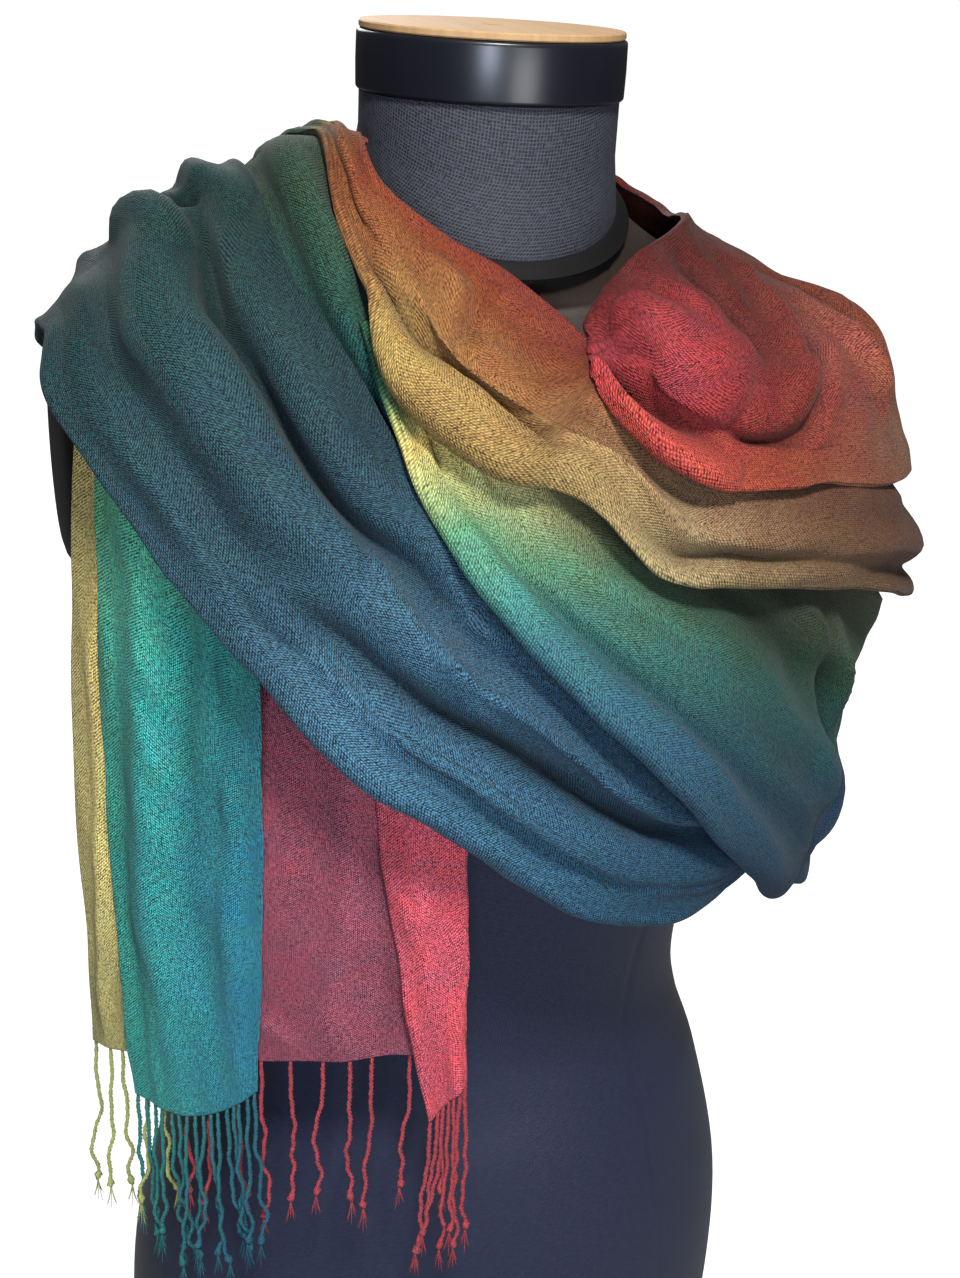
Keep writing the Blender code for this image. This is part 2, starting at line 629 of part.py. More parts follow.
def main():
    clear_scene()
    built["form"] = form_tree([build_torso(), build_neck(), build_cap(), build_disc()])
    loft("arm_plate_right", plate_rings(-1), PLATE)
    loft("arm_plate_left", plate_rings(1), PLATE)

    def on(*names):
        return [Lies(n, 1, 0.0, 1.0) for n in names]

    build_cloth("tail_back", TAIL_BACK, TAIL_BACK_FOLDS, 14, 14, [], DUSKY_CLOTH)
    build_cloth("tail_flap", TAIL_FLAP, [], 14, 4, on("tail_back"), BRIGHT_RED_CLOTH)
    build_cloth("tail_front", TAIL_FRONT, TAIL_FRONT_FOLDS, 14, 8, on("tail_back", "tail_flap"),
                TEAL_CLOTH)
    build_cloth("shoulder_fold", SHOULDER_FOLD, SHOULDER_FOLD_FOLDS, 20, 6,
                on("tail_back", "tail_front"), GREEN_CLOTH)
    build_cloth("lower_swath", LOWER_SWATH, LOWER_SWATH_FOLDS, 40, 10,
                on("tail_back", "tail_flap", "tail_front", "shoulder_fold"), SLATE_CLOTH)
    build_cloth("side_loop", SIDE_LOOP, [], 14, 6, on("lower_swath"), SLATE_CLOTH)
    build_cloth("back_swath", BACK_SWATH, BACK_SWATH_FOLDS, 26, 8,
                [Lies("lower_swath", 1, 0.0, 0.4), Lies("side_loop", 1, 0.0, 0.4),
                 Lies("lower_swath", -1, 0.7, 1.0), Lies("shoulder_fold", -1, 0.7, 1.0)],
                SLATE_CLOTH)
    build_cloth("front_panel", FRONT_PANEL, FRONT_PANEL_FOLDS, 28, 10,
                on("tail_front", "shoulder_fold", "lower_swath", "side_loop"), PANEL_CLOTH)
    build_cloth("middle_band", MIDDLE_BAND, MIDDLE_BAND_FOLDS, 40, 9,
                on("shoulder_fold", "lower_swath", "back_swath", "side_loop", "front_panel"),
                GOLD_CLOTH)
    build_cloth("back_wrap", BACK_WRAP, BACK_WRAP_FOLDS, 26, 9,
                on("back_swath", "side_loop", "lower_swath", "shoulder_fold")
                + [Lies("middle_band", 1, 0.0, 0.5), Lies("middle_band", -1, 0.5, 1.0)],
                SLATE_CLOTH)
    build_cloth("neck_cowl", NECK_COWL, NECK_COWL_FOLDS, 40, 9,
                on("back_wrap", "front_panel", "back_swath")
                + [Lies("middle_band", 1, 0.0, 0.8), Lies("middle_band", -1, 0.84, 1.0)],
                RED_CLOTH)
    build_fringe("fringe_back", "tail_back", 13, 0.03, 0.84, DUSKY_CLOTH)
    build_fringe("fringe_flap", "tail_flap", 6, 0.08, 0.92, BRIGHT_RED_CLOTH)
    build_fringe("fringe_front", "tail_front", 15, 0.03, 0.97, TEAL_CLOTH)
    centre_on_footprint()


main()
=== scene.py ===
# %% [markdown]
# # A fringed shawl on a dress form
#
# This scene dresses a finished solid model of a shawl that is wound round a limbless dress form.
# The solid model gives the size and the place of every stretch of cloth. Here each stretch is
# rebuilt as thin, soft cloth with creases, rolled edges, a woven surface and dye that changes
# along its length. The form gets its jersey, net, satin and wood.
#
# Tables are in millimetres, because that is how cloth is measured. Meshes are in metres.

# %% Start and load the solid model
import math
from collections import namedtuple

import bpy
import numpy as np
from mathutils import Matrix, Vector
from mathutils.bvhtree import BVHTree


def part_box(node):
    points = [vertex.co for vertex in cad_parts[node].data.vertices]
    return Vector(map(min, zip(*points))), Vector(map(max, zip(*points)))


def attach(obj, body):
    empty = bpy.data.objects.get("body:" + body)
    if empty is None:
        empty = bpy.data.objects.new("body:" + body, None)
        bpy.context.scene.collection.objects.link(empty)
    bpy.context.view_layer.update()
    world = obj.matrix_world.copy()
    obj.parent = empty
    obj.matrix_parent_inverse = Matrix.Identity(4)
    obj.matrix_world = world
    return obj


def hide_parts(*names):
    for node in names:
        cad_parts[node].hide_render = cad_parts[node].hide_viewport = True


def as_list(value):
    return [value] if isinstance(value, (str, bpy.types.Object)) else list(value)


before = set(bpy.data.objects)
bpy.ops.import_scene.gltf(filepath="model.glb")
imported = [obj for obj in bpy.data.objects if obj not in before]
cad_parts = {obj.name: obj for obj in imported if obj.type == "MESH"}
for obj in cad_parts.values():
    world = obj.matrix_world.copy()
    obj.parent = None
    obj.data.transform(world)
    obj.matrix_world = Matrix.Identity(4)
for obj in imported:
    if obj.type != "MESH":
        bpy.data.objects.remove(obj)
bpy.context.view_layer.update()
MM = 0.001
cap_low, cap_high = (Vector(corner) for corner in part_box("neck_cap"))
# The tables measure from the middle of the neck, the solid model from the middle of its box
ORIGIN = Vector(((cap_low.x + cap_high.x) / 2, (cap_low.y + cap_high.y) / 2, 0.0))

# %% [markdown]
# ## Sizes
#
# A dress form of a common women's size. The photo shows no scale, so the neck is taken as
# 118 mm across, and all other sizes follow from the picture. The solid model has the same sizes.

# %% Sizes of the form
FORM_HEIGHT = 860.0
CAP_BAND_HEIGHT = 25.0
DISC_THICKNESS = 3.2
DISC_HOLE_RADIUS = 5.0
NECK_RADIUS = 58.0
NECK_FRONT_INSET = 1.5
NECK_BACK_INSET = 0.5
CAP_RADIUS = 59.5
DISC_RADIUS = 58.5
PLATE_CENTRE_HEIGHT = 679.0
PLATE_HALF_HEIGHT = 52.0
PLATE_HALF_WIDTH = 44.0
PLATE_INNER_X = 186.4
PLATE_THICKNESS = 9.0
PLATE_EDGE_SHARE = 0.6
PLATE_DOME_SHARE = 0.86
PLATE_BACKING = 60.0
PLATE_CLEARANCE = {-1: 0.4, 1: 3.0}
SEAT_GAP = 0.3
print("the form is", FORM_HEIGHT, "mm tall")

# %% Sizes of the cloth
# In the solid model: the wall, the gap between layers, and how far a push reaches
WALL = 1.5
LAYER_GAP = 0.7
BORDER_REACH = 9.0
SHEET_REACH = 30.0
SETTLE_TURNS = 24
SMOOTH_TURNS = 14
TORSO_SIDES = 36
TORSO_STEPS = 26
NECK_STEPS = 4
# In the scene: the wall, the gap between layers, and how far apart the points of the cloth are
CLOTH = 1.0
CLOTH_GAP = 0.35
DETAIL = 1.9
print("points of cloth every", DETAIL, "mm")

# %% [markdown]
# ## The torso's rings
#
# The torso is a stack of level rings from the hips to the neck. Few rings are enough, because
# the form is smooth: a curve is drawn through them later.

# %% Rings of the torso
# One level ring of the form: half width, depth to the front and to the back, and how much its
# plane leans (rise in height for each millimetre towards the back)
Ring = namedtuple("Ring", "height half_width front back lean")
TORSO = [
    Ring(0.0, 168, 108, 118, 0.0),
    Ring(60.0, 175, 112, 125, 0.0),
    Ring(140.0, 180, 117, 130, 0.0),
    Ring(220.0, 175, 116, 122, 0.0),
    Ring(300.0, 154, 108, 104, 0.0),
    Ring(345.0, 137, 100, 92, 0.0),
    Ring(382.0, 130, 97, 87, 0.0),
    Ring(430.0, 134, 102, 88, 0.0),
    Ring(500.0, 149, 116, 97, 0.0),
    Ring(560.0, 162, 127, 104, 0.0),
    Ring(605.0, 172, 127, 108, 0.0),
    Ring(645.0, 182, 114, 108, 0.0),
    Ring(680.0, 186, 98, 101, 0.0),
    Ring(705.0, 184, 84, 92, 0.0),
    Ring(724.0, 172, 73, 84, 0.0),
    Ring(740.0, 148, 65, 76, 0.05),
    Ring(751.0, 122, 61, 70, 0.12),
    Ring(759.0, 102, 59, 66, 0.20),
    Ring(766.0, 88, 59, 64, 0.28),
    Ring(774.0, 76, 59, 61, 0.36),
    Ring(784.0, 66, 59, 60, 0.42),
    Ring(794.0, 60.5, 58.5, 59, 0.45),
]
print(len(TORSO), "rings")

# %% [markdown]
# ## The shawl's stretches
#
# The real shawl is one long cloth. What shows of it is built as separate stretches, because
# each has its own way round the form. A stretch is a row of sections from its start to its end,
# and a section has three points: at the lower or outer edge, in the middle, and at the upper or
# inner edge. Folds are its long creases. A simulation could drape a flat cloth, but it would
# never lie as in the picture. Points placed one by one do.

# %% How a stretch is written down
# One long crease: its place along and across the stretch as shares, height out of the cloth
# (minus for a trough) in millimetres, and half width as a share of the stretch's width
Fold = namedtuple("Fold", "along_from along_to across_from across_to height width")
# A neighbour that a stretch lies on (side 1) or under (side -1), between two shares of its length
Lies = namedtuple("Lies", "on side along_from along_to")
print("a fold has", len(Fold._fields), "numbers")

# %% [markdown]
# ## The hanging ends
#
# Both ends of the shawl hang at the form's right. The back one is nearly flat, and its inner edge
# is turned over into a narrow bright flap. The front one lies over it.

# %% The hanging ends
TAIL_BACK = [
    ((-188, -50, 728), (-147, -92, 690), (-50, -140, 602)),
    ((-196, -36, 620), (-150, -95, 590), (-50, -144, 555)),
    ((-198, -30, 500), (-151, -95, 500), (-49, -146, 500)),
    ((-197, -30, 430), (-150, -94, 450), (-47, -146, 455)),
    ((-197, -28, 377), (-146, -95, 405), (-50, -145, 427)),
]
TAIL_BACK_FOLDS = [
    Fold(0.0, 1.0, 0.42, 0.34, -3.0, 0.10),
    Fold(0.2, 1.0, 0.70, 0.66, 2.5, 0.09),
]
TAIL_FLAP = [
    ((-90, -134, 604), (-70, -142, 596), (-49, -146, 588)),
    ((-86, -136, 560), (-66, -143, 556), (-47, -147, 552)),
    ((-79, -138, 508), (-62, -144, 506), (-45, -148, 504)),
    ((-70, -140, 456), (-56, -145, 457), (-43, -148, 458)),
    ((-58, -144, 388), (-50, -147, 399), (-42, -149, 412)),
]
TAIL_FRONT = [
    ((-187, -78, 722), (-168, -104, 692), (-134, -138, 655)),
    ((-187, -66, 640), (-165, -97, 620), (-133, -129, 600)),
    ((-188, -60, 550), (-163, -93, 545), (-130, -120, 540)),
    ((-186, -60, 470), (-161, -92, 470), (-130, -118, 475)),
    ((-182, -62, 368), (-158, -91, 372), (-133, -116, 400)),
]
TAIL_FRONT_FOLDS = [
    Fold(0.0, 1.0, 0.30, 0.38, 3.0, 0.14),
    Fold(0.1, 1.0, 0.72, 0.66, -2.5, 0.12),
]
print("the back end is", TAIL_BACK[0][0][2] - TAIL_BACK[-1][0][2], "mm long")

# %% [markdown]
# ## The fold and the swath
#
# A deep green fold lies on the right shoulder. Below it the widest stretch, a dark slate swath,
# runs from behind the shoulder down across the chest to the left side.

# %% The shoulder fold
SHOULDER_FOLD = [
    ((-128, 58, 764), (-104, 62, 776), (-84, 62, 782)),
    ((-128, 20, 784), (-100, 20, 796), (-75, 22, 806)),
    ((-128, -10, 790), (-98, -18, 806), (-74, -38, 813)),
    ((-128, -54, 776), (-102, -60, 784), (-74, -74, 780)),
    ((-116, -92, 744), (-92, -98, 750), (-66, -104, 744)),
    ((-102, -114, 716), (-80, -119, 721), (-56, -122, 718)),
    ((-84, -130, 684), (-66, -133, 690), (-44, -136, 690)),
]
SHOULDER_FOLD_FOLDS = [
    Fold(0.0, 0.9, 0.55, 0.50, 5.0, 0.20),
    Fold(0.1, 0.8, 0.22, 0.20, -4.0, 0.14),
]
print(len(SHOULDER_FOLD), "sections")

# %% The lower swath
LOWER_SWATH = [
    ((-138, 100, 708), (-120, 98, 738), (-98, 84, 766)),
    ((-188, 58, 708), (-156, 68, 742), (-110, 64, 776)),
    ((-197, 20, 726), (-158, 28, 758), (-110, 22, 792)),
    ((-198, -40, 736), (-159, -42, 768), (-112, -28, 797)),
    ((-199, -66, 722), (-160, -84, 746), (-110, -84, 772)),
    ((-185, -98, 693), (-146, -112, 728), (-96, -114, 744)),
    ((-160, -125, 660), (-122, -138, 688), (-76, -136, 710)),
    ((-135, -140, 631), (-98, -153, 657), (-52, -147, 692)),
    ((-101, -157, 592), (-70, -166, 622), (-22, -157, 660)),
    ((-57, -165, 556), (-22, -171, 584), (18, -162, 625)),
    ((-6, -160, 515), (30, -166, 536), (64, -155, 580)),
    ((54, -146, 487), (84, -150, 513), (112, -135, 550)),
    ((106, -116, 496), (124, -114, 514), (142, -100, 545)),
    ((152, -52, 500), (160, -48, 522), (168, -36, 556)),
    ((164, 8, 502), (170, 10, 530), (174, 14, 566)),
]
LOWER_SWATH_FOLDS = [
    Fold(0.02, 0.40, 0.60, 0.52, 7.0, 0.12),
    Fold(0.10, 0.66, 0.78, 0.62, -6.0, 0.09),
    Fold(0.16, 0.58, 0.46, 0.40, 5.0, 0.12),
    Fold(0.40, 0.76, 0.22, 0.34, -6.0, 0.09),
    Fold(0.62, 0.86, 0.60, 0.62, -9.0, 0.12),
    Fold(0.05, 0.34, 0.24, 0.20, 4.0, 0.12),
]
print(len(LOWER_SWATH), "sections")

# %% [markdown]
# ## The loop and the panel
#
# The panel crosses the chest above the swath and ends in a point at the left. The loop is the
# turn of the cloth under the left arm plate, mostly behind that point.

# %% The loop and the front panel
SIDE_LOOP = [
    ((124, -116, 478), (130, -116, 498), (138, -112, 532)),
    ((150, -98, 456), (164, -92, 482), (172, -84, 532)),
    ((170, -72, 448), (188, -62, 486), (197, -54, 562)),
    ((180, -38, 450), (197, -30, 500), (205, -24, 588)),
    ((180, 16, 470), (196, 18, 530), (202, 20, 600)),
]
FRONT_PANEL = [
    ((-88, -100, 752), (-76, -104, 752), (-60, -106, 752)),
    ((-82, -126, 716), (-64, -127, 722), (-44, -126, 728)),
    ((-71, -141, 690), (-46, -143, 706), (-20, -134, 718)),
    ((-51, -153, 662), (-26, -155, 681), (2, -144, 700)),
    ((-29, -163, 634), (6, -161, 653), (38, -147, 684)),
    ((22, -167, 584), (56, -163, 617), (84, -144, 664)),
    ((72, -150, 530), (98, -154, 574), (122, -136, 645)),
    ((108, -130, 486), (128, -138, 540), (158, -112, 628)),
    ((130, -116, 472), (142, -122, 532), (184, -92, 612)),
    ((143, -106, 474), (146, -112, 528), (198, -72, 602)),
]
FRONT_PANEL_FOLDS = [
    Fold(0.15, 0.95, 0.06, 0.05, 4.0, 0.10),
    Fold(0.30, 0.90, 0.42, 0.36, 3.0, 0.16),
    Fold(0.55, 1.00, 0.66, 0.70, -5.0, 0.12),
]
print(len(SIDE_LOOP) + len(FRONT_PANEL), "sections")

# %% [markdown]
# ## The band and the cowl
#
# A narrow gold band comes from the right side of the neck and widens over the left shoulder. The
# red cowl on top is the loosest stretch: it stands away from the neck like the rim of a cup.

# %% The middle band
MIDDLE_BAND = [
    ((-104, 56, 800), (-86, 60, 806), (-68, 58, 808)),
    ((-92, 20, 815), (-78, 18, 821), (-66, 20, 814)),
    ((-87, -28, 815), (-74, -26, 821), (-64, -24, 812)),
    ((-87, -70, 785), (-74, -66, 791), (-63, -58, 795)),
    ((-82, -100, 755), (-61, -93, 769), (-42, -83, 781)),
    ((-71, -122, 726), (-45, -114, 747), (-16, -99, 765)),
    ((-47, -141, 706), (-20, -130, 729), (6, -113, 747)),
    ((-8, -153, 692), (4, -140, 716), (24, -121, 734)),
    ((24, -158, 662), (36, -150, 690), (48, -131, 718)),
    ((58, -157, 655), (70, -150, 680), (80, -133, 704)),
    ((126, -139, 640), (126, -134, 668), (122, -117, 700)),
    ((188, -90, 612), (182, -88, 650), (168, -80, 692)),
    ((216, -20, 592), (216, -18, 628), (198, -16, 672)),
    ((204, 50, 600), (204, 50, 640), (186, 50, 690)),
]
MIDDLE_BAND_FOLDS = [
    Fold(0.28, 0.62, 0.08, 0.10, 8.0, 0.13),
    Fold(0.30, 0.58, 0.30, 0.28, -6.0, 0.10),
    Fold(0.20, 0.50, 0.58, 0.62, 3.0, 0.14),
    Fold(0.60, 0.98, 0.50, 0.46, 5.0, 0.16),
]
print(len(MIDDLE_BAND), "sections")

# %% The neck cowl
NECK_COWL = [
    ((0, -128, 732), (2, -121, 741), (5, -110, 750)),
    ((10, -140, 712), (20, -124, 742), (20, -98, 763)),
    ((34, -150, 697), (46, -128, 736), (40, -84, 776)),
    ((60, -152, 690), (76, -122, 724), (64, -62, 782)),
    ((96, -142, 690), (110, -110, 722), (80, -36, 782)),
    ((148, -118, 678), (146, -82, 722), (93, -12, 778)),
    ((194, -74, 668), (182, -40, 713), (101, 16, 774)),
    ((216, -6, 652), (206, 14, 706), (106, 46, 774)),
    ((206, 62, 664), (178, 70, 720), (92, 74, 785)),
    ((128, 112, 716), (104, 96, 762), (66, 86, 796)),
    ((50, 124, 740), (40, 106, 778), (28, 90, 803)),
    ((-22, 118, 760), (-20, 100, 789), (-16, 84, 808)),
    ((-74, 92, 780), (-64, 81, 796), (-53, 67, 810)),
    ((-94, 52, 797), (-83, 47, 804), (-69, 41, 805)),
]
NECK_COWL_FOLDS = [
    Fold(0.06, 0.42, 0.62, 0.40, 8.0, 0.14),
    Fold(0.08, 0.34, 0.30, 0.24, -8.0, 0.11),
    Fold(0.34, 0.62, 0.50, 0.46, 6.0, 0.14),
    Fold(0.36, 0.80, 0.26, 0.24, -5.0, 0.10),
    Fold(0.55, 0.95, 0.62, 0.60, 5.0, 0.14),
]

print(len(NECK_COWL), "sections")

# %% [markdown]
# ## The back
#
# The picture doesn't show the back, so it is a guess: two stretches that join the ones at the
# front, one above the other.

# %% The back of the shawl
BACK_SWATH = [
    ((190, -8, 484), (201, -8, 530), (206, -6, 592)),
    ((182, 40, 490), (192, 42, 540), (196, 42, 606)),
    ((146, 88, 512), (154, 90, 562), (156, 86, 636)),
    ((76, 106, 552), (84, 110, 604), (86, 106, 676)),
    ((-6, 106, 600), (0, 112, 652), (4, 104, 714)),
    ((-86, 98, 650), (-78, 102, 702), (-72, 94, 748)),
    ((-140, 84, 700), (-126, 86, 738), (-106, 78, 766)),
    ((-166, 54, 712), (-144, 60, 746), (-114, 56, 768)),
]
BACK_SWATH_FOLDS = [
    Fold(0.15, 0.95, 0.30, 0.36, 5.0, 0.10),
    Fold(0.10, 0.90, 0.55, 0.58, -5.0, 0.09),
]
BACK_WRAP = [
    ((212, 10, 590), (212, 12, 632), (196, 14, 684)),
    ((212, 52, 590), (210, 54, 642), (190, 56, 700)),
    ((168, 102, 612), (162, 104, 670), (142, 96, 726)),
    ((90, 122, 648), (88, 124, 704), (82, 110, 754)),
    ((2, 126, 682), (2, 124, 733), (2, 108, 777)),
    ((-64, 114, 714), (-58, 108, 756), (-52, 90, 790)),
    ((-112, 88, 748), (-98, 82, 776), (-78, 68, 798)),
    ((-124, 52, 772), (-108, 50, 786), (-86, 46, 796)),
]
BACK_WRAP_FOLDS = [
    Fold(0.05, 0.95, 0.22, 0.26, 6.0, 0.10),
    Fold(0.10, 0.90, 0.46, 0.50, -6.0, 0.10),
    Fold(0.15, 0.85, 0.70, 0.72, 5.0, 0.10),
]
print(len(BACK_SWATH) + len(BACK_WRAP), "sections")

# %% [markdown]
# ## What lies on what
#
# The stretches are laid in this order, the lowest first. Each names the ones that it lies on, or
# under, and along which part of its length.

# %% The order of the stretches
# A stretch of the shawl, the steps of its first coarse lay, what it lies on, and the record's slot
Stretch = namedtuple("Stretch", "name sections folds along across lies slot")


def on(*names):
    return [Lies(n, 1, 0.0, 1.0) for n in names]


STRETCHES = [
    Stretch("tail_back", TAIL_BACK, TAIL_BACK_FOLDS, 14, 14, [], "cloth_dusky"),
    Stretch("tail_flap", TAIL_FLAP, [], 14, 4, on("tail_back"), "cloth_bright"),
    Stretch("tail_front", TAIL_FRONT, TAIL_FRONT_FOLDS, 14, 8, on("tail_back", "tail_flap"),
            "cloth_teal"),
    Stretch("shoulder_fold", SHOULDER_FOLD, SHOULDER_FOLD_FOLDS, 20, 6,
            on("tail_back", "tail_front"), "cloth_green"),
    Stretch("lower_swath", LOWER_SWATH, LOWER_SWATH_FOLDS, 40, 10,
            on("tail_back", "tail_flap", "tail_front", "shoulder_fold"), "cloth_slate"),
    Stretch("side_loop", SIDE_LOOP, [], 14, 6, on("lower_swath"), "cloth_slate"),
    Stretch("back_swath", BACK_SWATH, BACK_SWATH_FOLDS, 26, 8,
            [Lies("lower_swath", 1, 0.0, 0.4), Lies("side_loop", 1, 0.0, 0.4),
             Lies("lower_swath", -1, 0.7, 1.0), Lies("shoulder_fold", -1, 0.7, 1.0)],
            "cloth_slate"),
    Stretch("front_panel", FRONT_PANEL, FRONT_PANEL_FOLDS, 28, 10,
            on("tail_front", "shoulder_fold", "lower_swath", "side_loop"), "cloth_panel"),
    Stretch("middle_band", MIDDLE_BAND, MIDDLE_BAND_FOLDS, 40, 9,
            on("shoulder_fold", "lower_swath", "back_swath", "side_loop", "front_panel"),
            "cloth_gold"),
    Stretch("back_wrap", BACK_WRAP, BACK_WRAP_FOLDS, 26, 9,
            on("back_swath", "side_loop", "lower_swath", "shoulder_fold")
            + [Lies("middle_band", 1, 0.0, 0.5), Lies("middle_band", -1, 0.5, 1.0)],
            "cloth_slate"),
    Stretch("neck_cowl", NECK_COWL, NECK_COWL_FOLDS, 40, 9,
            on("back_wrap", "front_panel", "back_swath")
            + [Lies("middle_band", 1, 0.0, 0.8), Lies("middle_band", -1, 0.84, 1.0)],
            "cloth_red"),
]
print(len(STRETCHES), "stretches of cloth")

# %% [markdown]
# ## Soft creases
#
# A crease is a smooth line drawn on a stretch, with its points in hundredths along and across
# it. Height is how far the cloth rises there, or sinks if it is negative, and the two widths
# are how far that reaches towards the upper edge and the lower edge. Unequal widths make one
# side steeper, as on real cloth. They follow the picture, and the hidden sides have similar ones.

# %% Creases of the swath and the fold
Crease = namedtuple("Crease", "path height up_width down_width")
CREASES = {}


def creases(*rows):
    """Creases from rows of height, widths and the points of a path in hundredths."""
    return [Crease([(a / 100, b / 100) for a, b in path], height, up, down)
            for height, up, down, *path in rows]


CREASES["lower_swath"] = creases(
    (-4.5, 6, 11, (19, 62), (25, 70), (33, 70), (42, 68), (52, 68), (60, 64)),
    (2.6, 7, 7, (22, 82), (32, 84), (42, 82), (52, 80)),
    (3.2, 8, 12, (20, 46), (30, 54), (40, 54), (50, 54), (58, 56)),
    (-2.6, 6, 10, (24, 28), (34, 36), (42, 36), (50, 40)),
    (-8.0, 5, 7, (46, 30), (52, 34), (58, 38), (64, 43), (70, 48), (77, 60)),
    (4.5, 7, 4, (48, 46), (55, 50), (61, 55), (67, 59), (72, 65), (76, 74)),
    (3.0, 8, 8, (50, 18), (58, 22), (66, 26), (76, 30)),
    (2.0, 5, 4, (47, 5), (58, 5), (66, 6), (76, 6)),
    (-2.0, 4, 4, (55, 12), (63, 13), (72, 17)),
    (1.8, 9, 6, (30, 12), (38, 18), (47, 15)),
    (-5.0, 5, 6, (15, 58), (19, 66), (21, 80)),
    (3.0, 5, 7, (17, 48), (21, 58), (24, 62)),
    (3.0, 6, 6, (12, 88), (18, 84), (24, 92)),
    (-1.6, 4, 4, (46, 60), (48, 52), (50, 44)),
    (1.6, 4, 4, (53, 64), (55, 56), (58, 48)),
    (3.0, 8, 8, (3, 30), (10, 36), (17, 30)),
    (3.0, 8, 6, (80, 20), (88, 30), (97, 25)),
)
CREASES["shoulder_fold"] = creases(
    (2.6, 5, 7, (30, 66), (42, 64), (55, 66), (72, 60)),
    (-3.0, 5, 5, (34, 34), (50, 42), (66, 40), (88, 44)),
    (2.0, 5, 5, (40, 14), (55, 20), (75, 18)),
    (-2.5, 6, 6, (10, 50), (20, 40), (30, 45)),
)
print(len(CREASES), "stretches have creases")

# %% Creases of the panel and the band
CREASES["front_panel"] = creases(
    (2.4, 8, 5, (10, 5), (30, 7), (50, 6), (70, 6), (92, 8)),
    (-1.6, 6, 8, (28, 18), (42, 22), (58, 20), (76, 22)),
    (1.5, 12, 12, (36, 46), (50, 50), (62, 46)),
    (-2.6, 4, 4, (10, 36), (16, 26), (20, 20)),
    (2.0, 5, 5, (14, 50), (20, 40), (26, 34)),
    (-2.4, 6, 9, (44, 80), (54, 74), (64, 66), (72, 60)),
    (3.2, 6, 8, (60, 90), (66, 80), (72, 74), (80, 56)),
    (-7.0, 7, 9, (66, 86), (71, 70), (76, 54), (84, 42)),
    (2.2, 8, 8, (70, 40), (78, 42), (90, 36)),
    (1.6, 6, 8, (16, 40), (24, 56), (34, 70)),
    (-1.6, 8, 6, (56, 36), (66, 34), (76, 38)),
)
CREASES["middle_band"] = creases(
    (-7.5, 4.5, 4.5, (26, 16), (31, 14), (36, 17), (42, 24), (48, 22), (51, 16)),
    (3.6, 4.5, 4, (28, 3), (34, 5), (40, 9), (46, 8), (50, 5)),
    (2.4, 6, 7, (30, 40), (36, 36), (43, 42), (52, 36)),
    (-2.4, 4, 4, (34, 66), (38, 48), (40, 32)),
    (1.8, 4, 5, (30, 72), (35, 60), (38, 44)),
    (-2.2, 6, 6, (42, 56), (50, 48), (60, 44), (70, 48)),
    (2.6, 7, 6, (50, 28), (57, 26), (66, 36), (75, 38)),
    (-3.0, 4, 4, (53, 12), (60, 12), (68, 22), (78, 20)),
    (2.0, 4, 4, (54, 3), (64, 4), (74, 6)),
    (2.0, 8, 6, (62, 54), (70, 60), (78, 62), (86, 54)),
    (-1.6, 5, 5, (14, 30), (20, 40), (27, 36)),
    (2.6, 6, 5, (74, 28), (82, 34), (92, 30)),
    (-2.6, 4, 5, (76, 12), (84, 16), (92, 12)),
    (-2.5, 6, 6, (84, 70), (90, 62), (97, 66)),
)
print(len(CREASES), "stretches have creases")

# %% Creases of the cowl and the back
CREASES["neck_cowl"] = creases(
    (4.6, 13, 10, (3, 92), (7, 76), (10, 58), (14, 44), (20, 34)),
    (-8.0, 8, 8, (3, 42), (5, 34), (8, 26), (13, 19), (19, 17)),
    (3.6, 5, 5, (2, 14), (8, 7), (15, 4), (21, 5)),
    (-4.0, 5, 5, (18, 26), (22, 20), (27, 20), (30, 26)),
    (1.6, 3, 4, (13, 90), (15, 74), (16, 62), (18, 50)),
    (-5.0, 9, 9, (19, 94), (21, 76), (23, 58), (24, 40)),
    (-4.5, 5, 7, (36, 62), (34, 46), (31, 34), (28, 20)),
    (4.0, 6, 5, (40, 64), (38, 48), (38, 34), (40, 16)),
    (3.4, 6, 8, (27, 88), (30, 70), (30, 54), (27, 40)),
    (2.4, 5, 5, (24, 30), (28, 34), (33, 28)),
    (-3.0, 8, 8, (45, 76), (47, 50), (46, 26)),
    (4.0, 8, 6, (50, 30), (60, 38), (72, 32), (84, 36)),
    (-3.0, 7, 9, (52, 60), (64, 66), (78, 60)),
    (-2.5, 6, 6, (66, 16), (78, 14), (90, 20)),
)
CREASES["back_wrap"] = creases(
    (4.0, 7, 10, (8, 30), (30, 36), (52, 30), (74, 34)),
    (-3.5, 8, 6, (20, 58), (42, 62), (66, 56), (84, 60)),
    (3.0, 6, 8, (30, 80), (55, 84), (80, 78)),
    (-2.5, 6, 6, (40, 16), (58, 12), (72, 18)),
)
CREASES["back_swath"] = creases(
    (3.5, 8, 10, (10, 24), (34, 30), (58, 22), (80, 30)),
    (-3.0, 7, 7, (18, 44), (40, 50), (60, 44)),
    (-2.0, 6, 6, (30, 10), (50, 14), (70, 10)),
)
print(len(CREASES), "stretches have creases")

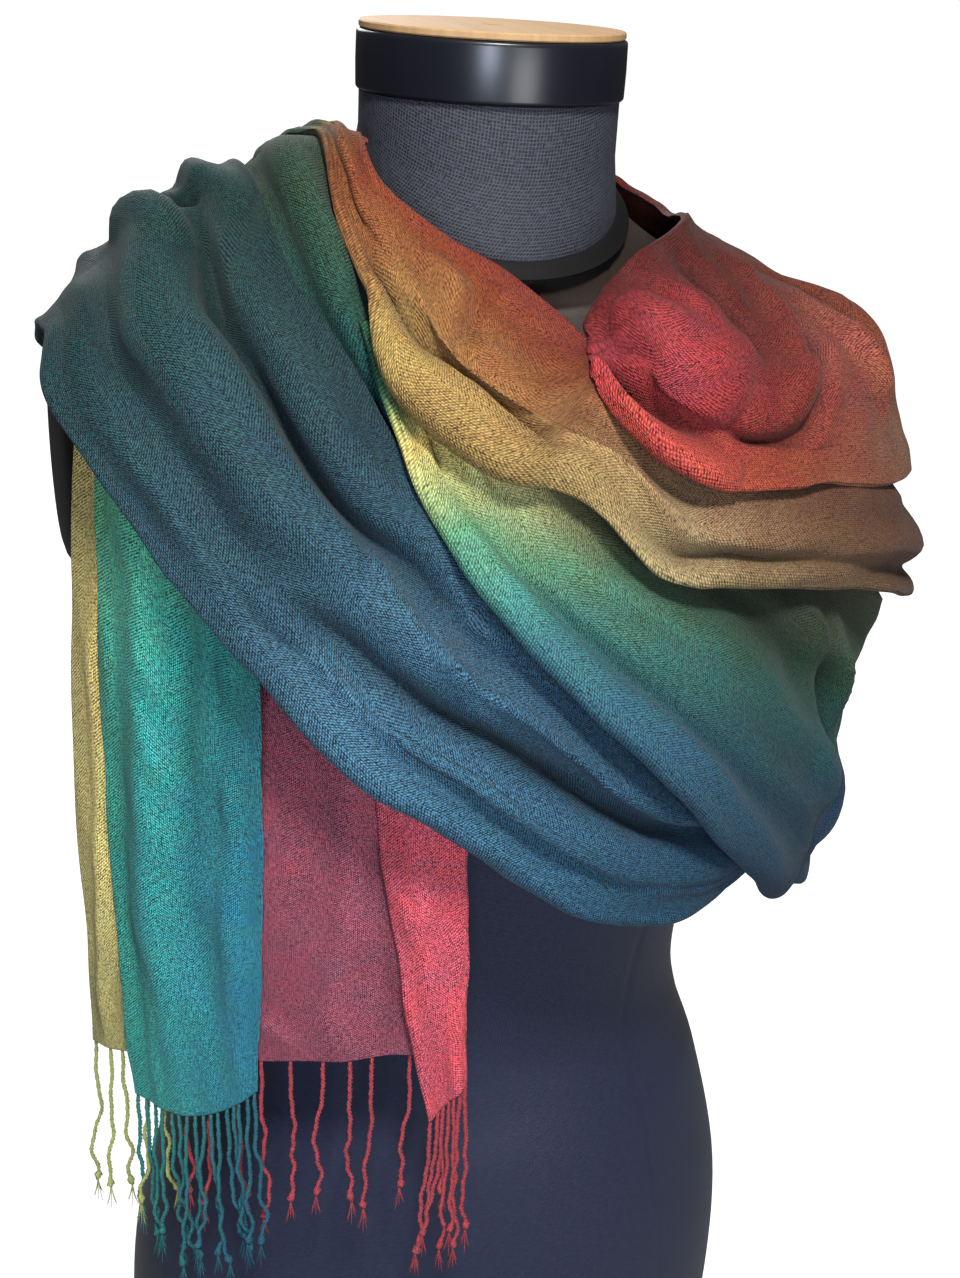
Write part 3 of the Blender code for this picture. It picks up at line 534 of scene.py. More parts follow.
# %% Creases of the loop and the ends
CREASES["side_loop"] = creases(
    (3.0, 8, 8, (20, 30), (50, 40), (85, 34)),
    (-3.0, 7, 7, (40, 66), (66, 60), (90, 66)),
    (-2.0, 6, 6, (30, 12), (60, 14), (90, 10)),
)
CREASES["tail_front"] = creases(
    (1.6, 9, 9, (2, 30), (35, 36), (70, 33), (102, 38)),
    (-1.4, 8, 9, (10, 62), (45, 58), (80, 60)),
    (1.2, 6, 6, (30, 86), (60, 84), (102, 88)),
    (-1.0, 6, 6, (40, 14), (70, 12), (102, 16)),
)
CREASES["tail_back"] = creases(
    (1.6, 8, 8, (5, 72), (40, 76), (75, 72), (102, 76)),
    (-1.2, 6, 6, (20, 86), (60, 84), (102, 86)),
    (1.2, 6, 6, (10, 10), (45, 12), (80, 8), (102, 10)),
)
CREASES["tail_flap"] = creases(
    (1.0, 6, 6, (10, 45), (50, 40), (90, 48)),
)
print(len(CREASES), "stretches have creases")

# %% [markdown]
# ## Edges
#
# Where the cloth is doubled over, its edge is a soft round lip. A plain edge of single cloth has
# almost none. The numbers are how much thicker than single cloth an edge looks, in millimetres.

# %% Edges
Edges = namedtuple("Edges", "lower upper start end")
EDGES = {
    "tail_back": Edges(0.2, 0.2, 0.0, 0.2),
    "tail_flap": Edges(0.3, 1.6, 0.0, 0.2),
    "tail_front": Edges(0.4, 0.2, 0.0, 0.2),
    "shoulder_fold": Edges(1.2, 1.5, 0.0, 0.4),
    "lower_swath": Edges(2.0, 1.6, 1.0, 0.0),
    "side_loop": Edges(2.4, 1.0, 0.6, 0.6),
    "back_swath": Edges(2.2, 1.4, 1.0, 0.0),
    "front_panel": Edges(1.8, 0.6, 0.4, 1.6),
    "middle_band": Edges(1.8, 1.2, 0.4, 1.0),
    "back_wrap": Edges(2.2, 1.6, 1.2, 0.0),
    "neck_cowl": Edges(1.9, 2.2, 1.4, 0.0),
}
# How far a lip reaches into the cloth
LIP_REACH = 7.0
print(len(EDGES), "sets of edges")

# %% [markdown]
# ## How loosely the cloth lies
#
# A stretch puffs a little where it shows and sinks where the next stretch covers it. The numbers
# are how far it is lifted, in millimetres, at its lower edge, middle and upper edge.

# %% Lifts
Lift = namedtuple("Lift", "along lower middle upper")
LIFTS = {
    "shoulder_fold": [Lift(0.0, 0, 0, 0), Lift(0.5, 0, 2, -2), Lift(1.0, 0, 1, -2)],
    "lower_swath": [Lift(0.0, 0, 0, 0), Lift(0.2, 1, 3, 1), Lift(0.4, 4, 6, 3),
                    Lift(0.52, 5, 5, 0), Lift(0.62, 5, 3, -5), Lift(0.74, 4, 2, -6),
                    Lift(0.84, 1, -1, -4), Lift(1.0, 0, 0, 0)],
    "side_loop": [Lift(0.0, 0, 0, -2), Lift(0.5, 3, 1, -3), Lift(1.0, 0, 0, 0)],
    "back_swath": [Lift(0.0, 0, 0, 0), Lift(0.5, 4, 2, -2), Lift(1.0, 0, 0, 0)],
    "front_panel": [Lift(0.0, 0, 0, -2), Lift(0.15, 2, 0, -4), Lift(0.35, 6, 4, -5),
                    Lift(0.6, 8, 6, -5), Lift(0.85, 6, 3, -4), Lift(1.0, 1, 0, -3)],
    "middle_band": [Lift(0.0, -14, -14, -14), Lift(0.13, -8, -8, -8), Lift(0.2, 0, 1, 0),
                    Lift(0.33, 3, 3, 1), Lift(0.45, 5, 5, 2), Lift(0.6, 7, 5, -3),
                    Lift(0.8, 5, 3, -4), Lift(1.0, 0, 0, 0)],
    "back_wrap": [Lift(0.0, 0, 0, 0), Lift(0.5, 5, 3, 0), Lift(1.0, 0, 0, 0)],
    "neck_cowl": [Lift(0.0, 0, 0, 0), Lift(0.10, 9, 7, 3), Lift(0.25, 8, 7, 3),
                  Lift(0.38, 5, 4, 2), Lift(0.5, 3, 3, 0), Lift(0.8, 2, 1, 0),
                  Lift(0.88, -8, -8, -8), Lift(1.0, -14, -14, -14)],
}
print(len(LIFTS), "stretches lie loosely")

# %% [markdown]
# ## Dye
#
# One long run of colours is dyed into the shawl. A shade is a place on it: 0 plum, 1 red, 2 rust,
# 3 gold, 4 yellow, 5 lime, 6 green, 7 aqua, 8 teal, 9 blue, 10 slate. Tone is how light the cloth
# is there: mostly its dye, and in the rows marked below painted shade or painted light. Faded is
# how much grey cross thread shows. Each row is read at its place along the stretch, and between
# the rows the cloth changes evenly. They were changed until a render of the scene agreed with
# the picture.

# %% Shades of the cowl and the band
Shade = namedtuple("Shade", "along lower middle upper tone_lower tone_middle tone_upper faded",
                   defaults=(0.0,))
SHADES = {}


def shades(*rows):
    """Shades from rows of place, three shades and the tones, place and tones in hundredths."""
    return [Shade(row[0] / 100, *row[1:4], *(n / 100 for n in row[4:])) for row in rows]


SHADES["neck_cowl"] = shades(
    (0, 1.2, 0.8, 1.2, 94, 81, 52),
    (15, 1.4, 0.8, 1.2, 94, 78, 47),
    (26, 1.7, 1.3, 1.5, 84, 58, 42),
    (34, 2.1, 1.4, 1.4, 83, 78, 46, 18),
    (42, 2.5, 2.1, 1.6, 68, 80, 52, 20),
    # The low upper tones of rows 60 and 84 are painted shade where the cowl's inner side shows by
    # the neck
    (60, 2.6, 1.6, 1.2, 77, 67, 48),
    (84, 2.2, 1.4, 1.2, 67, 58, 44),
    (92, 5.0, 4.8, 4.6, 43, 43, 43),
    (100, 6.0, 6.0, 6.0, 40, 40, 40),
)
SHADES["middle_band"] = shades(
    (0, 6.0, 6.0, 6.0, 38, 38, 38),
    (11, 6.0, 5.8, 5.6, 41, 41, 41),
    (15, 3.2, 2.4, 2.0, 53, 59, 64),
    (20, 2.3, 2.1, 1.8, 64, 69, 74),
    (27, 2.9, 2.4, 1.7, 70, 74, 75),
    (33, 3.8, 2.8, 1.4, 78, 77, 72),
    (45, 3.7, 2.4, 1.2, 76, 72, 66, 2),
    (54, 3.8, 2.8, 1.2, 79, 77, 72, 14),
    # The low upper tones of rows 62 and 74 are painted shadow under the cowl's rim
    (62, 4.0, 3.2, 1.9, 77, 73, 35, 28),
    (74, 3.4, 2.6, 2.0, 62, 58, 36, 22),
    (84, 2.8, 2.3, 2.1, 45, 45, 45, 15),
    (100, 4.4, 3.6, 2.6, 63, 63, 59, 20),
)
print(len(SHADES), "stretches have shades")

# %% Shades of the panel, the fold and the swath
SHADES["front_panel"] = shades(
    (0, 6.5, 6.2, 5.6, 50, 50, 60),
    (8, 5.8, 5.0, 4.4, 66, 74, 85),
    # Row 14's high tones are painted light that offsets the cast shadow of the band above
    (14, 4.2, 3.6, 3.3, 98, 114, 114),
    # The low upper tones of rows 28 to 75, and the low middle tones of rows 42 to 75, are painted
    # shadow below the band's edge, over the cloth's own dark olive
    (28, 6.5, 4.9, 3.8, 84, 88, 52, 14),
    (42, 7.8, 6.2, 4.6, 80, 67, 12, 20),
    (56, 8.6, 6.9, 4.8, 76, 53, 14, 20),
    (75, 9.0, 8.0, 4.9, 58, 50, 34, 15),
    (100, 9.6, 8.6, 5.2, 55, 55, 50),
)
SHADES["shoulder_fold"] = shades(
    (0, 6.4, 6.2, 6.0, 39, 37, 37),
    (40, 6.6, 6.0, 5.6, 39, 40, 37, 25),
    (70, 8.0, 7.0, 6.4, 42, 45, 40),
    (100, 8.6, 8.4, 7.6, 59, 61, 57),
)
SHADES["lower_swath"] = shades(
    (0, 7.8, 7.7, 7.5, 39, 38, 37, 16),
    (24, 7.5, 7.2, 7.1, 40, 38, 34, 16),
    (40, 8.0, 7.9, 7.9, 60, 53, 45, 28),
    (55, 8.4, 8.5, 8.7, 87, 85, 77, 26),
    (68, 8.5, 8.6, 8.8, 81, 74, 67, 16),
    (80, 8.4, 8.8, 8.9, 62, 57, 54),
    (100, 8.4, 9.0, 9.2, 52, 51, 50),
)
print(len(SHADES), "stretches have shades")

# %% Shades of the back, the loop and the ends
SHADES["back_swath"] = shades(
    (0, 9.2, 9.0, 8.8, 60, 60, 60),
    (100, 8.6, 8.4, 8.0, 50, 50, 50),
)
SHADES["side_loop"] = shades(
    (0, 9.2, 9.2, 9.0, 62, 60, 60),
    (100, 8.8, 9.4, 9.2, 66, 56, 55),
)
SHADES["back_wrap"] = shades(
    (0, 6.6, 5.0, 4.2, 66, 76, 78),
    (30, 8.3, 7.0, 5.0, 60, 65, 70),
    (70, 8.6, 7.6, 6.0, 55, 60, 60),
    (100, 6.5, 6.0, 5.0, 50, 50, 50),
)
SHADES["tail_front"] = shades(
    # Row 0's high lower and middle tones are painted light that offsets the swath's cast shadow
    (0, 6.0, 6.3, 6.9, 117, 122, 92),
    (30, 6.5, 7.1, 7.6, 95, 94, 84),
    (60, 6.8, 7.5, 7.9, 92, 98, 92),
    (100, 6.9, 7.5, 7.9, 92, 102, 98),
)
SHADES["tail_back"] = shades(
    (0, 4.3, 0.2, 0.1, 106, 98, 97, 5),
    (50, 4.4, 0.2, 0.1, 114, 97, 93, 8),
    (100, 4.7, 0.2, 0.1, 100, 97, 95, 8),
)
SHADES["tail_flap"] = shades(
    (0, 0.5, 0.5, 0.6, 116, 123, 127),
    (100, 0.6, 0.6, 0.7, 113, 119, 123),
)
print(len(SHADES), "stretches have shades")

# %% [markdown]
# ## Smooth curves
#
# The tables hold few points, so that a person can read and change them. A curve object could join
# them, but the cloth needs its curves at many exact places, so a short formula reads them.

# %% Read a smooth curve
def spline(rows, shares):
    """Read a smooth curve through equal steps of rows at shares from 0 to 1."""
    rows = np.asarray(rows, float)
    last = len(rows) - 1
    padded = np.concatenate([[2 * rows[0] - rows[1]], rows, [2 * rows[-1] - rows[-2]]])
    out = []
    for share in shares:
        place = min(max(share, 0.0), 1.0) * last
        step = min(int(place), last - 1)
        t = place - step
        a, b, c, d = padded[step:step + 4]
        out.append(0.5 * (2 * b + (c - a) * t + (2 * a - 5 * b + 4 * c - d) * t * t
                          + (3 * b - a - 3 * c + d) * t ** 3))
    return np.array(out)


print("half way along the swath", spline([s[1] for s in LOWER_SWATH], [0.5])[0].round(1))

# %% [markdown]
# ## Rings of the form
#
# A dress form is round, but flatter at the front than at the back. A level ring of it is two half
# ovals that meet at the sides, so three sizes say its whole shape and nothing is sculpted. Faces
# between a stack of rings make a closed solid.

# %% Rings and the faces between them
def body_ring(ring, sides):
    """Points of one form ring, anticlockwise from the wearer's left (+X)."""
    points = []
    for i in range(sides):
        turn = math.tau * i / sides
        x = ring.half_width * math.cos(turn)
        y = (ring.back if math.sin(turn) > 0 else ring.front) * math.sin(turn)
        points.append((x, y, ring.height + ring.lean * y))
    return points


def ring_faces(levels, sides):
    """Faces between a stack of equal rings. The last two close its ends."""
    faces = []
    for level in range(levels - 1):
        low = level * sides
        for i in range(sides):
            j = (i + 1) % sides
            faces.append((low + i, low + j, low + sides + j, low + sides + i))
    faces.append(tuple(reversed(range(sides))))
    faces.append(tuple(range((levels - 1) * sides, levels * sides)))
    return faces


def torso_rings(sides, steps):
    """The torso's rings, read smoothly from its table."""
    table = np.array([tuple(row) for row in TORSO], float)
    rings = [Ring(*values) for values in spline(table, np.linspace(0.0, 1.0, steps))]
    rings[-1] = TORSO[-1]
    return [body_ring(ring, sides) for ring in rings]


print("a ring of the coarse form has", len(body_ring(TORSO[0], TORSO_SIDES)), "points")

# %% Rings of the neck and the arm plates
def neck_rings(sides, levels):
    """The neck from the torso's leaning top to its level end under the cap."""
    top = FORM_HEIGHT - DISC_THICKNESS - CAP_BAND_HEIGHT - 2 * SEAT_GAP
    foot = TORSO[-1]._replace(height=TORSO[-1].height + SEAT_GAP)
    rings = [body_ring(foot, sides)]
    for share in np.linspace(0.0, 1.0, levels)[1:]:
        height = foot.height + (top - foot.height) * share
        # The neck has its full radius from half way up
        radius = foot.half_width + (NECK_RADIUS - foot.half_width) * min(1.0, 2 * share)
        rings.append(body_ring(Ring(height, radius, radius - NECK_FRONT_INSET,
                                    radius - NECK_BACK_INSET, foot.lean * (1 - share)), sides))
    return rings


def plate_ring(side, depth, share, sides, grown=0.0):
    """One oval ring of an arm plate, this far out and this share of its full size."""
    wide = PLATE_HALF_WIDTH * share + grown
    tall = PLATE_HALF_HEIGHT * share + grown
    turns = [side * math.tau * i / sides for i in range(sides)]
    return [(side * (PLATE_INNER_X + depth), wide * math.cos(turn),
             PLATE_CENTRE_HEIGHT + tall * math.sin(turn)) for turn in turns]


print("the neck ends", round(neck_rings(TORSO_SIDES, 2)[-1][0][2], 1), "mm up")

# %% [markdown]
# ## Where the cloth may not go
#
# Cloth stops at what it lies on. A physics simulation finds that out step by step, but it takes
# long and can end differently each time. Here a search tree answers one question very fast: which
# point of the form is nearest to this point of the cloth?

# %% Search tree of the form
def form_tree(sides, steps):
    """The torso, the neck and the arm plates, carried inwards so that no gap shows."""
    stacks = [torso_rings(sides, steps), neck_rings(sides, NECK_STEPS)]
    for side in (-1, 1):
        stacks.append([plate_ring(side, depth, share, TORSO_SIDES, PLATE_CLEARANCE[side])
                       for depth, share in ((-PLATE_BACKING, 1.0),
                                            (PLATE_THICKNESS * PLATE_EDGE_SHARE, 1.0),
                                            (PLATE_THICKNESS, PLATE_DOME_SHARE))])
    points = []
    faces = []
    for rings in stacks:
        first = len(points)
        points += [Vector(p) for ring in rings for p in ring]
        faces += [tuple(first + k for k in f) for f in ring_faces(len(rings), len(rings[0]))]
    return BVHTree.FromPolygons(points, faces)


coarse = {"form": form_tree(TORSO_SIDES, TORSO_STEPS)}
print("the form can be searched")

# %% [markdown]
# ## First, coarse lay
#
# Each stretch is first laid with few points: its sections are joined by smooth curves, and its long
# folds are raised. The solid model was made in this way too, so the fine cloth starts where the
# solid is.

# %% Lay one stretch
# How quickly a long fold fades at its ends; less is quicker
FOLD_FADE = 0.7


def grid_normals(grid):
    """Outward unit normals of a grid of points."""
    normal = np.cross(np.gradient(grid, axis=0), np.gradient(grid, axis=1))
    return normal / np.linalg.norm(normal, axis=2, keepdims=True)


def lay_grid(stretch):
    """Points of a stretch's inner face before it is settled on its neighbours."""
    u = np.linspace(0.0, 1.0, stretch.along + 1)
    v = np.linspace(0.0, 1.0, stretch.across + 1)
    lower, middle, upper = (spline([s[k] for s in stretch.sections], u) for k in range(3))
    grid = np.zeros((len(u), len(v), 3))
    for j, w in enumerate(v):
        grid[:, j] = (lower * (1 - w) * (1 - 2 * w) + middle * 4 * w * (1 - w)
                      + upper * w * (2 * w - 1))
    normal = grid_normals(grid)
    for fold in stretch.folds:
        place = (u - fold.along_from) / (fold.along_to - fold.along_from)
        fade = np.where((place > 0) & (place < 1),
                        np.sin(np.pi * np.clip(place, 0, 1)) ** FOLD_FADE, 0)
        centre = fold.across_from + (fold.across_to - fold.across_from) * place
        shape = np.exp(-((v[None, :] - centre[:, None]) / fold.width) ** 2)
        grid += normal * (fold.height * fade[:, None] * shape)[:, :, None]
    return grid


print("points of the coarse swath:", lay_grid(STRETCHES[4]).shape[:2])

# %% [markdown]
# ## Settling
#
# A point that is closer to a neighbour than the layer gap is pushed away from it. The push is
# shared with the points around it, so the cloth bends instead of denting. A few turns of this do
# what a simulation would, and they end the same way each time.

# %% How far a point has to move
def shortfall(point, neighbour, lie):
    """How far and which way a point has to move to clear one neighbour."""
    if isinstance(neighbour, dict):
        tree = neighbour["outer"] if lie.side > 0 else neighbour["inner"]
        reach = BORDER_REACH
    else:
        tree = neighbour
        reach = SHEET_REACH
    hit, normal, _, _ = tree.find_nearest(point, SHEET_REACH)
    if hit is None:
        return None
    away = point - hit
    side = away.dot(normal)
    if (away - normal * side).length > reach:
        return None
    need = LAYER_GAP - side if lie.side > 0 else LAYER_GAP + WALL + side
    if need <= 0:
        return None
    return normal * (need * lie.side)


def neighbour_mean(field):
    """The mean of each grid value's four neighbours."""
    padded = np.pad(field, ((1, 1), (1, 1), (0, 0)), mode="edge")
    return (padded[:-2, 1:-1] + padded[2:, 1:-1] + padded[1:-1, :-2] + padded[1:-1, 2:]) / 4.0


print("layers lie", LAYER_GAP, "mm apart")

# %% Settle one coarse stretch
def between(i, j):
    """The grid points round a sample point, which counts in half steps of the grid."""
    return {(i // 2, j // 2), ((i + 1) // 2, j // 2),
            (i // 2, (j + 1) // 2), ((i + 1) // 2, (j + 1) // 2)}


def settle(grid, lies):
    """Move a grid clear of the form and of the stretches that it lies on or under."""
    rows, columns = grid.shape[:2]
    samples = {(i, j): between(i, j) for i in range(2 * rows - 1) for j in range(2 * columns - 1)}
    shift = np.zeros_like(grid)
    for turn in range(SETTLE_TURNS):
        now = grid + shift
        moved = 0
        push = np.zeros_like(grid)
        for (i, j), corners in samples.items():
            point = Vector(np.mean([now[c] for c in corners], axis=0))
            share = i / (2.0 * rows - 2)
            for lie in lies:
                if not lie.along_from <= share <= lie.along_to:
                    continue
                need = shortfall(point, coarse[lie.on], lie)
                if need is None:
                    continue
                moved += 1
                for corner in corners:
                    if need.length > np.linalg.norm(push[corner]):
                        push[corner] = need
        shift += push
        if moved == 0:
            break
        if turn < SMOOTH_TURNS:
            shift = 0.5 * shift + 0.5 * neighbour_mean(shift)
    return grid + shift


print("at most", SETTLE_TURNS, "turns for each stretch")

# %% Lay and settle every stretch
def quads_of(rows, columns):
    """Faces of a grid of points."""
    return [(i * columns + j, (i + 1) * columns + j, (i + 1) * columns + j + 1,
             i * columns + j + 1) for i in range(rows - 1) for j in range(columns - 1)]


def sheet_trees(inner, outer):
    """Search trees of a stretch's inner and outer face."""
    quads = quads_of(*inner.shape[:2])
    return {face: BVHTree.FromPolygons([Vector(p) for p in grid.reshape(-1, 3)], quads)
            for face, grid in (("inner", inner), ("outer", outer))}


for stretch in STRETCHES:
    inner = settle(lay_grid(stretch), on("form") + stretch.lies)
    coarse[stretch.name] = sheet_trees(inner, inner + grid_normals(inner) * WALL)
    coarse[stretch.name]["grid"] = inner
print("coarse cloth laid:", ", ".join(s.name for s in STRETCHES))

# %% [markdown]
# ## Fine cloth
#
# The coarse grid is read again at many more points. Blender could subdivide the mesh, but then the
# points would be evenly spread. Here they crowd towards the edges, where the cloth turns over.

# %% Read a coarse grid at more points
# How strongly the points crowd towards the edges, from 0 to 1
EDGE_CROWDING = 0.45
# The least number of steps across a stretch, and the points added for its two edges
LEAST_ACROSS = 12
EDGE_POINTS = 6


def curve_weights(count, shares):
    """Weights that read a smooth curve through count equal steps, one row for each share."""
    rows = np.zeros((len(shares), count))
    last = count - 1
    for row, share in enumerate(shares):
        place = min(max(share, 0.0), 1.0) * last
        step = min(int(place), last - 1)
        t = place - step
        parts = (0.5 * (-t + 2 * t * t - t ** 3), 0.5 * (2 - 5 * t * t + 3 * t ** 3),
                 0.5 * (t + 4 * t * t - 3 * t ** 3), 0.5 * (t ** 3 - t * t))
        for k, part in zip(range(step - 1, step + 3), parts):
            if k < 0:
                rows[row, 0] += 2 * part
                rows[row, 1] -= part
            elif k > last:
                rows[row, last] += 2 * part
                rows[row, last - 1] -= part
            else:
                rows[row, k] += part
    return rows


def crowded(count):
    """Shares from 0 to 1 that lie closer together towards both ends."""
    even = np.linspace(0.0, 1.0, count)
    return (1 - EDGE_CROWDING) * even + EDGE_CROWDING * 0.5 * (1 - np.cos(np.pi * even))


def lengths(grid):
    """Distance along and across the cloth of every grid point, in millimetres."""
    along = np.linalg.norm(np.diff(grid, axis=0), axis=2).mean(axis=1)
    across = np.linalg.norm(np.diff(grid, axis=1), axis=2)
    s = np.concatenate([[0.0], np.cumsum(along)])[:, None] * np.ones((1, grid.shape[1]))
    t = np.concatenate([np.zeros((grid.shape[0], 1)), np.cumsum(across, axis=1)], axis=1)
    return s, t


def refined(grid):
    """A grid read at fine, crowded points, with their shares along and across."""
    s, t = lengths(grid)
    u = crowded(int(s[-1, 0] / DETAIL) + 2)
    v = crowded(max(int(t[:, -1].mean() / DETAIL), LEAST_ACROSS) + EDGE_POINTS)
    return np.einsum("ui,ijk,vj->uvk", curve_weights(grid.shape[0], u), grid,
                     curve_weights(grid.shape[1], v)), u, v


print("fine points of the swath:", refined(coarse["lower_swath"]["grid"])[0].shape[:2])

# %% [markdown]
# ## Raising a crease
#
# Each crease could be sculpted by hand, but then nobody could change it later. Here the height
# comes from the distance to the crease's line: highest on the line, and fading on both sides and
# at both ends. A trough also pushes up a little cloth beside it, as a real one does.

# %% Raise one crease
CREASE_LIFT = 2.8
CREASE_POINTS = 25
CREASE_FADE = 0.8
# How much cloth a trough pushes up beside it, and how many times wider that is than the trough
SHOULDER_SHARE = 0.5
SHOULDER_REACH = 2.1


def line_distance(line_s, line_t, s, t):
    """Distance to a bent line, the side that a point is on, and its place along the line."""
    best = np.full(s.shape, 1e9)
    side = np.zeros(s.shape)
    place = np.zeros(s.shape)
    pieces = len(line_s) - 1
    for k in range(pieces):
        ds, dt = line_s[k + 1] - line_s[k], line_t[k + 1] - line_t[k]
        share = ((s - line_s[k]) * ds + (t - line_t[k]) * dt) / (ds * ds + dt * dt)
        share = np.clip(share, 0, 1)
        gap_s = s - line_s[k] - share * ds
        gap_t = t - line_t[k] - share * dt
        far = np.hypot(gap_s, gap_t)
        closer = far < best
        best = np.where(closer, far, best)
        side = np.where(closer, gap_t * ds - gap_s * dt, side)
        place = np.where(closer, (k + share) / pieces, place)
    return best, side, place


def crease_rise(crease, u, s, t):
    """Height that one crease adds at every grid point."""
    path = spline(crease.path, np.linspace(0.0, 1.0, CREASE_POINTS))
    width = t[:, -1].mean()
    past_end = path[:, 0] - np.clip(path[:, 0], 0, 1)
    line_s = np.interp(path[:, 0], u, s[:, 0]) + past_end * s[-1, 0]
    best, side, place = line_distance(line_s, path[:, 1] * width, s, t / t[:, -1:] * width)
    reach = np.where(side > 0, crease.up_width, crease.down_width)
    fade = np.sin(np.pi * np.clip(place, 0.0, 1.0)) ** CREASE_FADE
    ends = np.where((place <= 0) | (place >= 1), 0.0, 1.0)
    shape = np.exp(-(best / reach) ** 2)
    if crease.height < 0:
        shape = shape - SHOULDER_SHARE * np.exp(-(best / (SHOULDER_REACH * reach)) ** 2)
    return CREASE_LIFT * crease.height * fade * ends * shape


print("creases are raised", CREASE_LIFT, "times their height in the table")

# %% [markdown]
# ## Thin short creases
#
# Between its main folds a thin shawl has many faint, short creases. There are too many to draw, so
# a repeatable chance places them. It is worked out from a number and not drawn from a random
# generator, so the cloth is the same each time.

# %% Scatter thin short creases
SMALL_CREASE_SPACING = 15.0
# Large uneven numbers, so that neighbouring draws have nothing in common
CHANCE_WEIGHTS = (12.9898, 78.233, 37.719)
CHANCE_SCALE = 43758.5453


def chance(*numbers):
    """A repeatable number from 0 to 1 that looks random."""
    value = math.sin(sum(n * w for n, w in zip(numbers, CHANCE_WEIGHTS))) * CHANCE_SCALE
    return value - math.floor(value)


def small_creases(seed, length):
    """Thin short creases that run roughly along a stretch, uneven in place, length and height."""
    out = []
    for k in range(int(length / SMALL_CREASE_SPACING)):
        start, place, long, slope, bent, high, up, wide, lopsided = (chance(seed, k, n)
                                                                     for n in range(1, 10))
        reach = 0.05 + 0.16 * long
        drift = 0.24 * (slope - 0.5)
        middle = (start, place + 0.06 * (bent - 0.5))
        height = (0.25 + 0.50 * high) * (1 if up > 0.45 else -1)
        width = 2.6 + 3.0 * wide
        out.append(Crease([(start - reach, place - drift), middle, (start + reach, place + drift)],
                          height, width, width * (0.7 + 0.9 * lopsided)))
    return out


print("a metre of cloth has", len(small_creases(1, 1000.0)), "thin creases")

# %% [markdown]
# ## Lift, thickness and dye at every point
#
# The tables of lifts, edges and shades hold a few rows for each stretch. These helpers spread them
# over all its points. Along the border the thickness runs out in a quarter circle, so the edge of
# the cloth is soft and round.

# %% Spread the tables over the cloth
# Where across the cloth a row's lower, middle and upper numbers hold
ACROSS = (0.0, 0.5, 1.0)
LIFT_MARKS = 41
# The least thickness at the very edge, as a share, and how far in the rounding reaches
EDGE_LEAST = 0.12
EDGE_ROUNDING = 0.9
# A stripe of one shade along the lower selvedge, as wide as this share of the cloth
SELVEDGES = {"tail_back": 0.30}
SELVEDGE_BLEND = 0.04


def lift_grid(name, u, v):
    """How far the cloth lies off its solid at every grid point."""
    if name not in LIFTS:
        return np.zeros((len(u), len(v)))
    rows = LIFTS[name]
    marks = np.linspace(0.0, 1.0, LIFT_MARKS)
    places = np.interp(marks, [r.along for r in rows], range(len(rows)))
    lines = spline([(r.lower, r.middle, r.upper) for r in rows], places / (len(rows) - 1))
    lines = np.array([np.interp(u, marks, lines[:, k]) for k in range(3)])
    return np.array([np.interp(v, ACROSS, lines[:, i]) for i in range(len(u))])


def thickness_of(name, s, t):
    """Thickness of the cloth at every grid point, with its soft round edges."""
    gaps = Edges(lower=t, upper=t[:, -1:] - t, start=s, end=s[-1:] - s)
    thick = np.full(s.shape, CLOTH)
    for lip, gap in zip(EDGES[name], gaps):
        thick += lip * np.exp(-(gap / LIP_REACH) ** 2)
    turn = np.clip(np.minimum.reduce(gaps) / (EDGE_ROUNDING * thick), 0.0, 1.0)
    return thick * (EDGE_LEAST + (1 - EDGE_LEAST) * np.sqrt(1 - (1 - turn) ** 2))


def shade_grid(name, u, v):
    """Shade, tone and fading at every grid point, read from the stretch's table."""
    rows = SHADES[name]
    marks = [row.along for row in rows]
    if name in SELVEDGES:
        v = np.interp(v, [0.0, SELVEDGES[name], SELVEDGES[name] + SELVEDGE_BLEND, 1.0],
                      [0.0, 0.03, 0.5, 1.0])
    out = []
    for columns in (("lower", "middle", "upper"), ("tone_lower", "tone_middle", "tone_upper"),
                    ("faded", "faded", "faded")):
        lines = np.array([np.interp(u, marks, [getattr(row, c) for row in rows]) for c in columns])
        out.append(np.array([np.interp(v, ACROSS, lines[:, i]) for i in range(len(u))]))
    return out


print("lifts, edges and shades can be read anywhere on the cloth")

# %% [markdown]
# ## Settling the fine cloth
#
# The creases have moved the cloth, so it is settled once more, now on the fine stretches below it.
# Only the points that were not pushed are smoothed, because the others already touch.

# %% Settle one fine stretch
FINE_SIDES = 144
FINE_STEPS = 110
FINE_TURNS = 7
FINE_SMOOTH_TURNS = 5
# How far past a neighbour's border a push reaches, and how far a neighbour is looked for
FINE_REACH = 2.5
FINE_SEARCH = 14.0


def clearing_push(point, thick, near):
    """The longest push that clears one fine point of its neighbours, or nothing."""
    worst = 0.0
    push = None
    for lie in near:
        tree = fine[lie.on]["outer" if lie.side > 0 else "inner"]
        hit, normal, _, _ = tree.find_nearest(point, FINE_SEARCH)
        if hit is None:
            continue
        away = point - hit
        side = away.dot(normal)
        if lie.on != "form" and (away - normal * side).length > FINE_REACH:
            continue
        need = CLOTH_GAP - side if lie.side > 0 else CLOTH_GAP + thick + side
        if need > worst:
            worst = need
            push = normal * (need * lie.side)
    return push


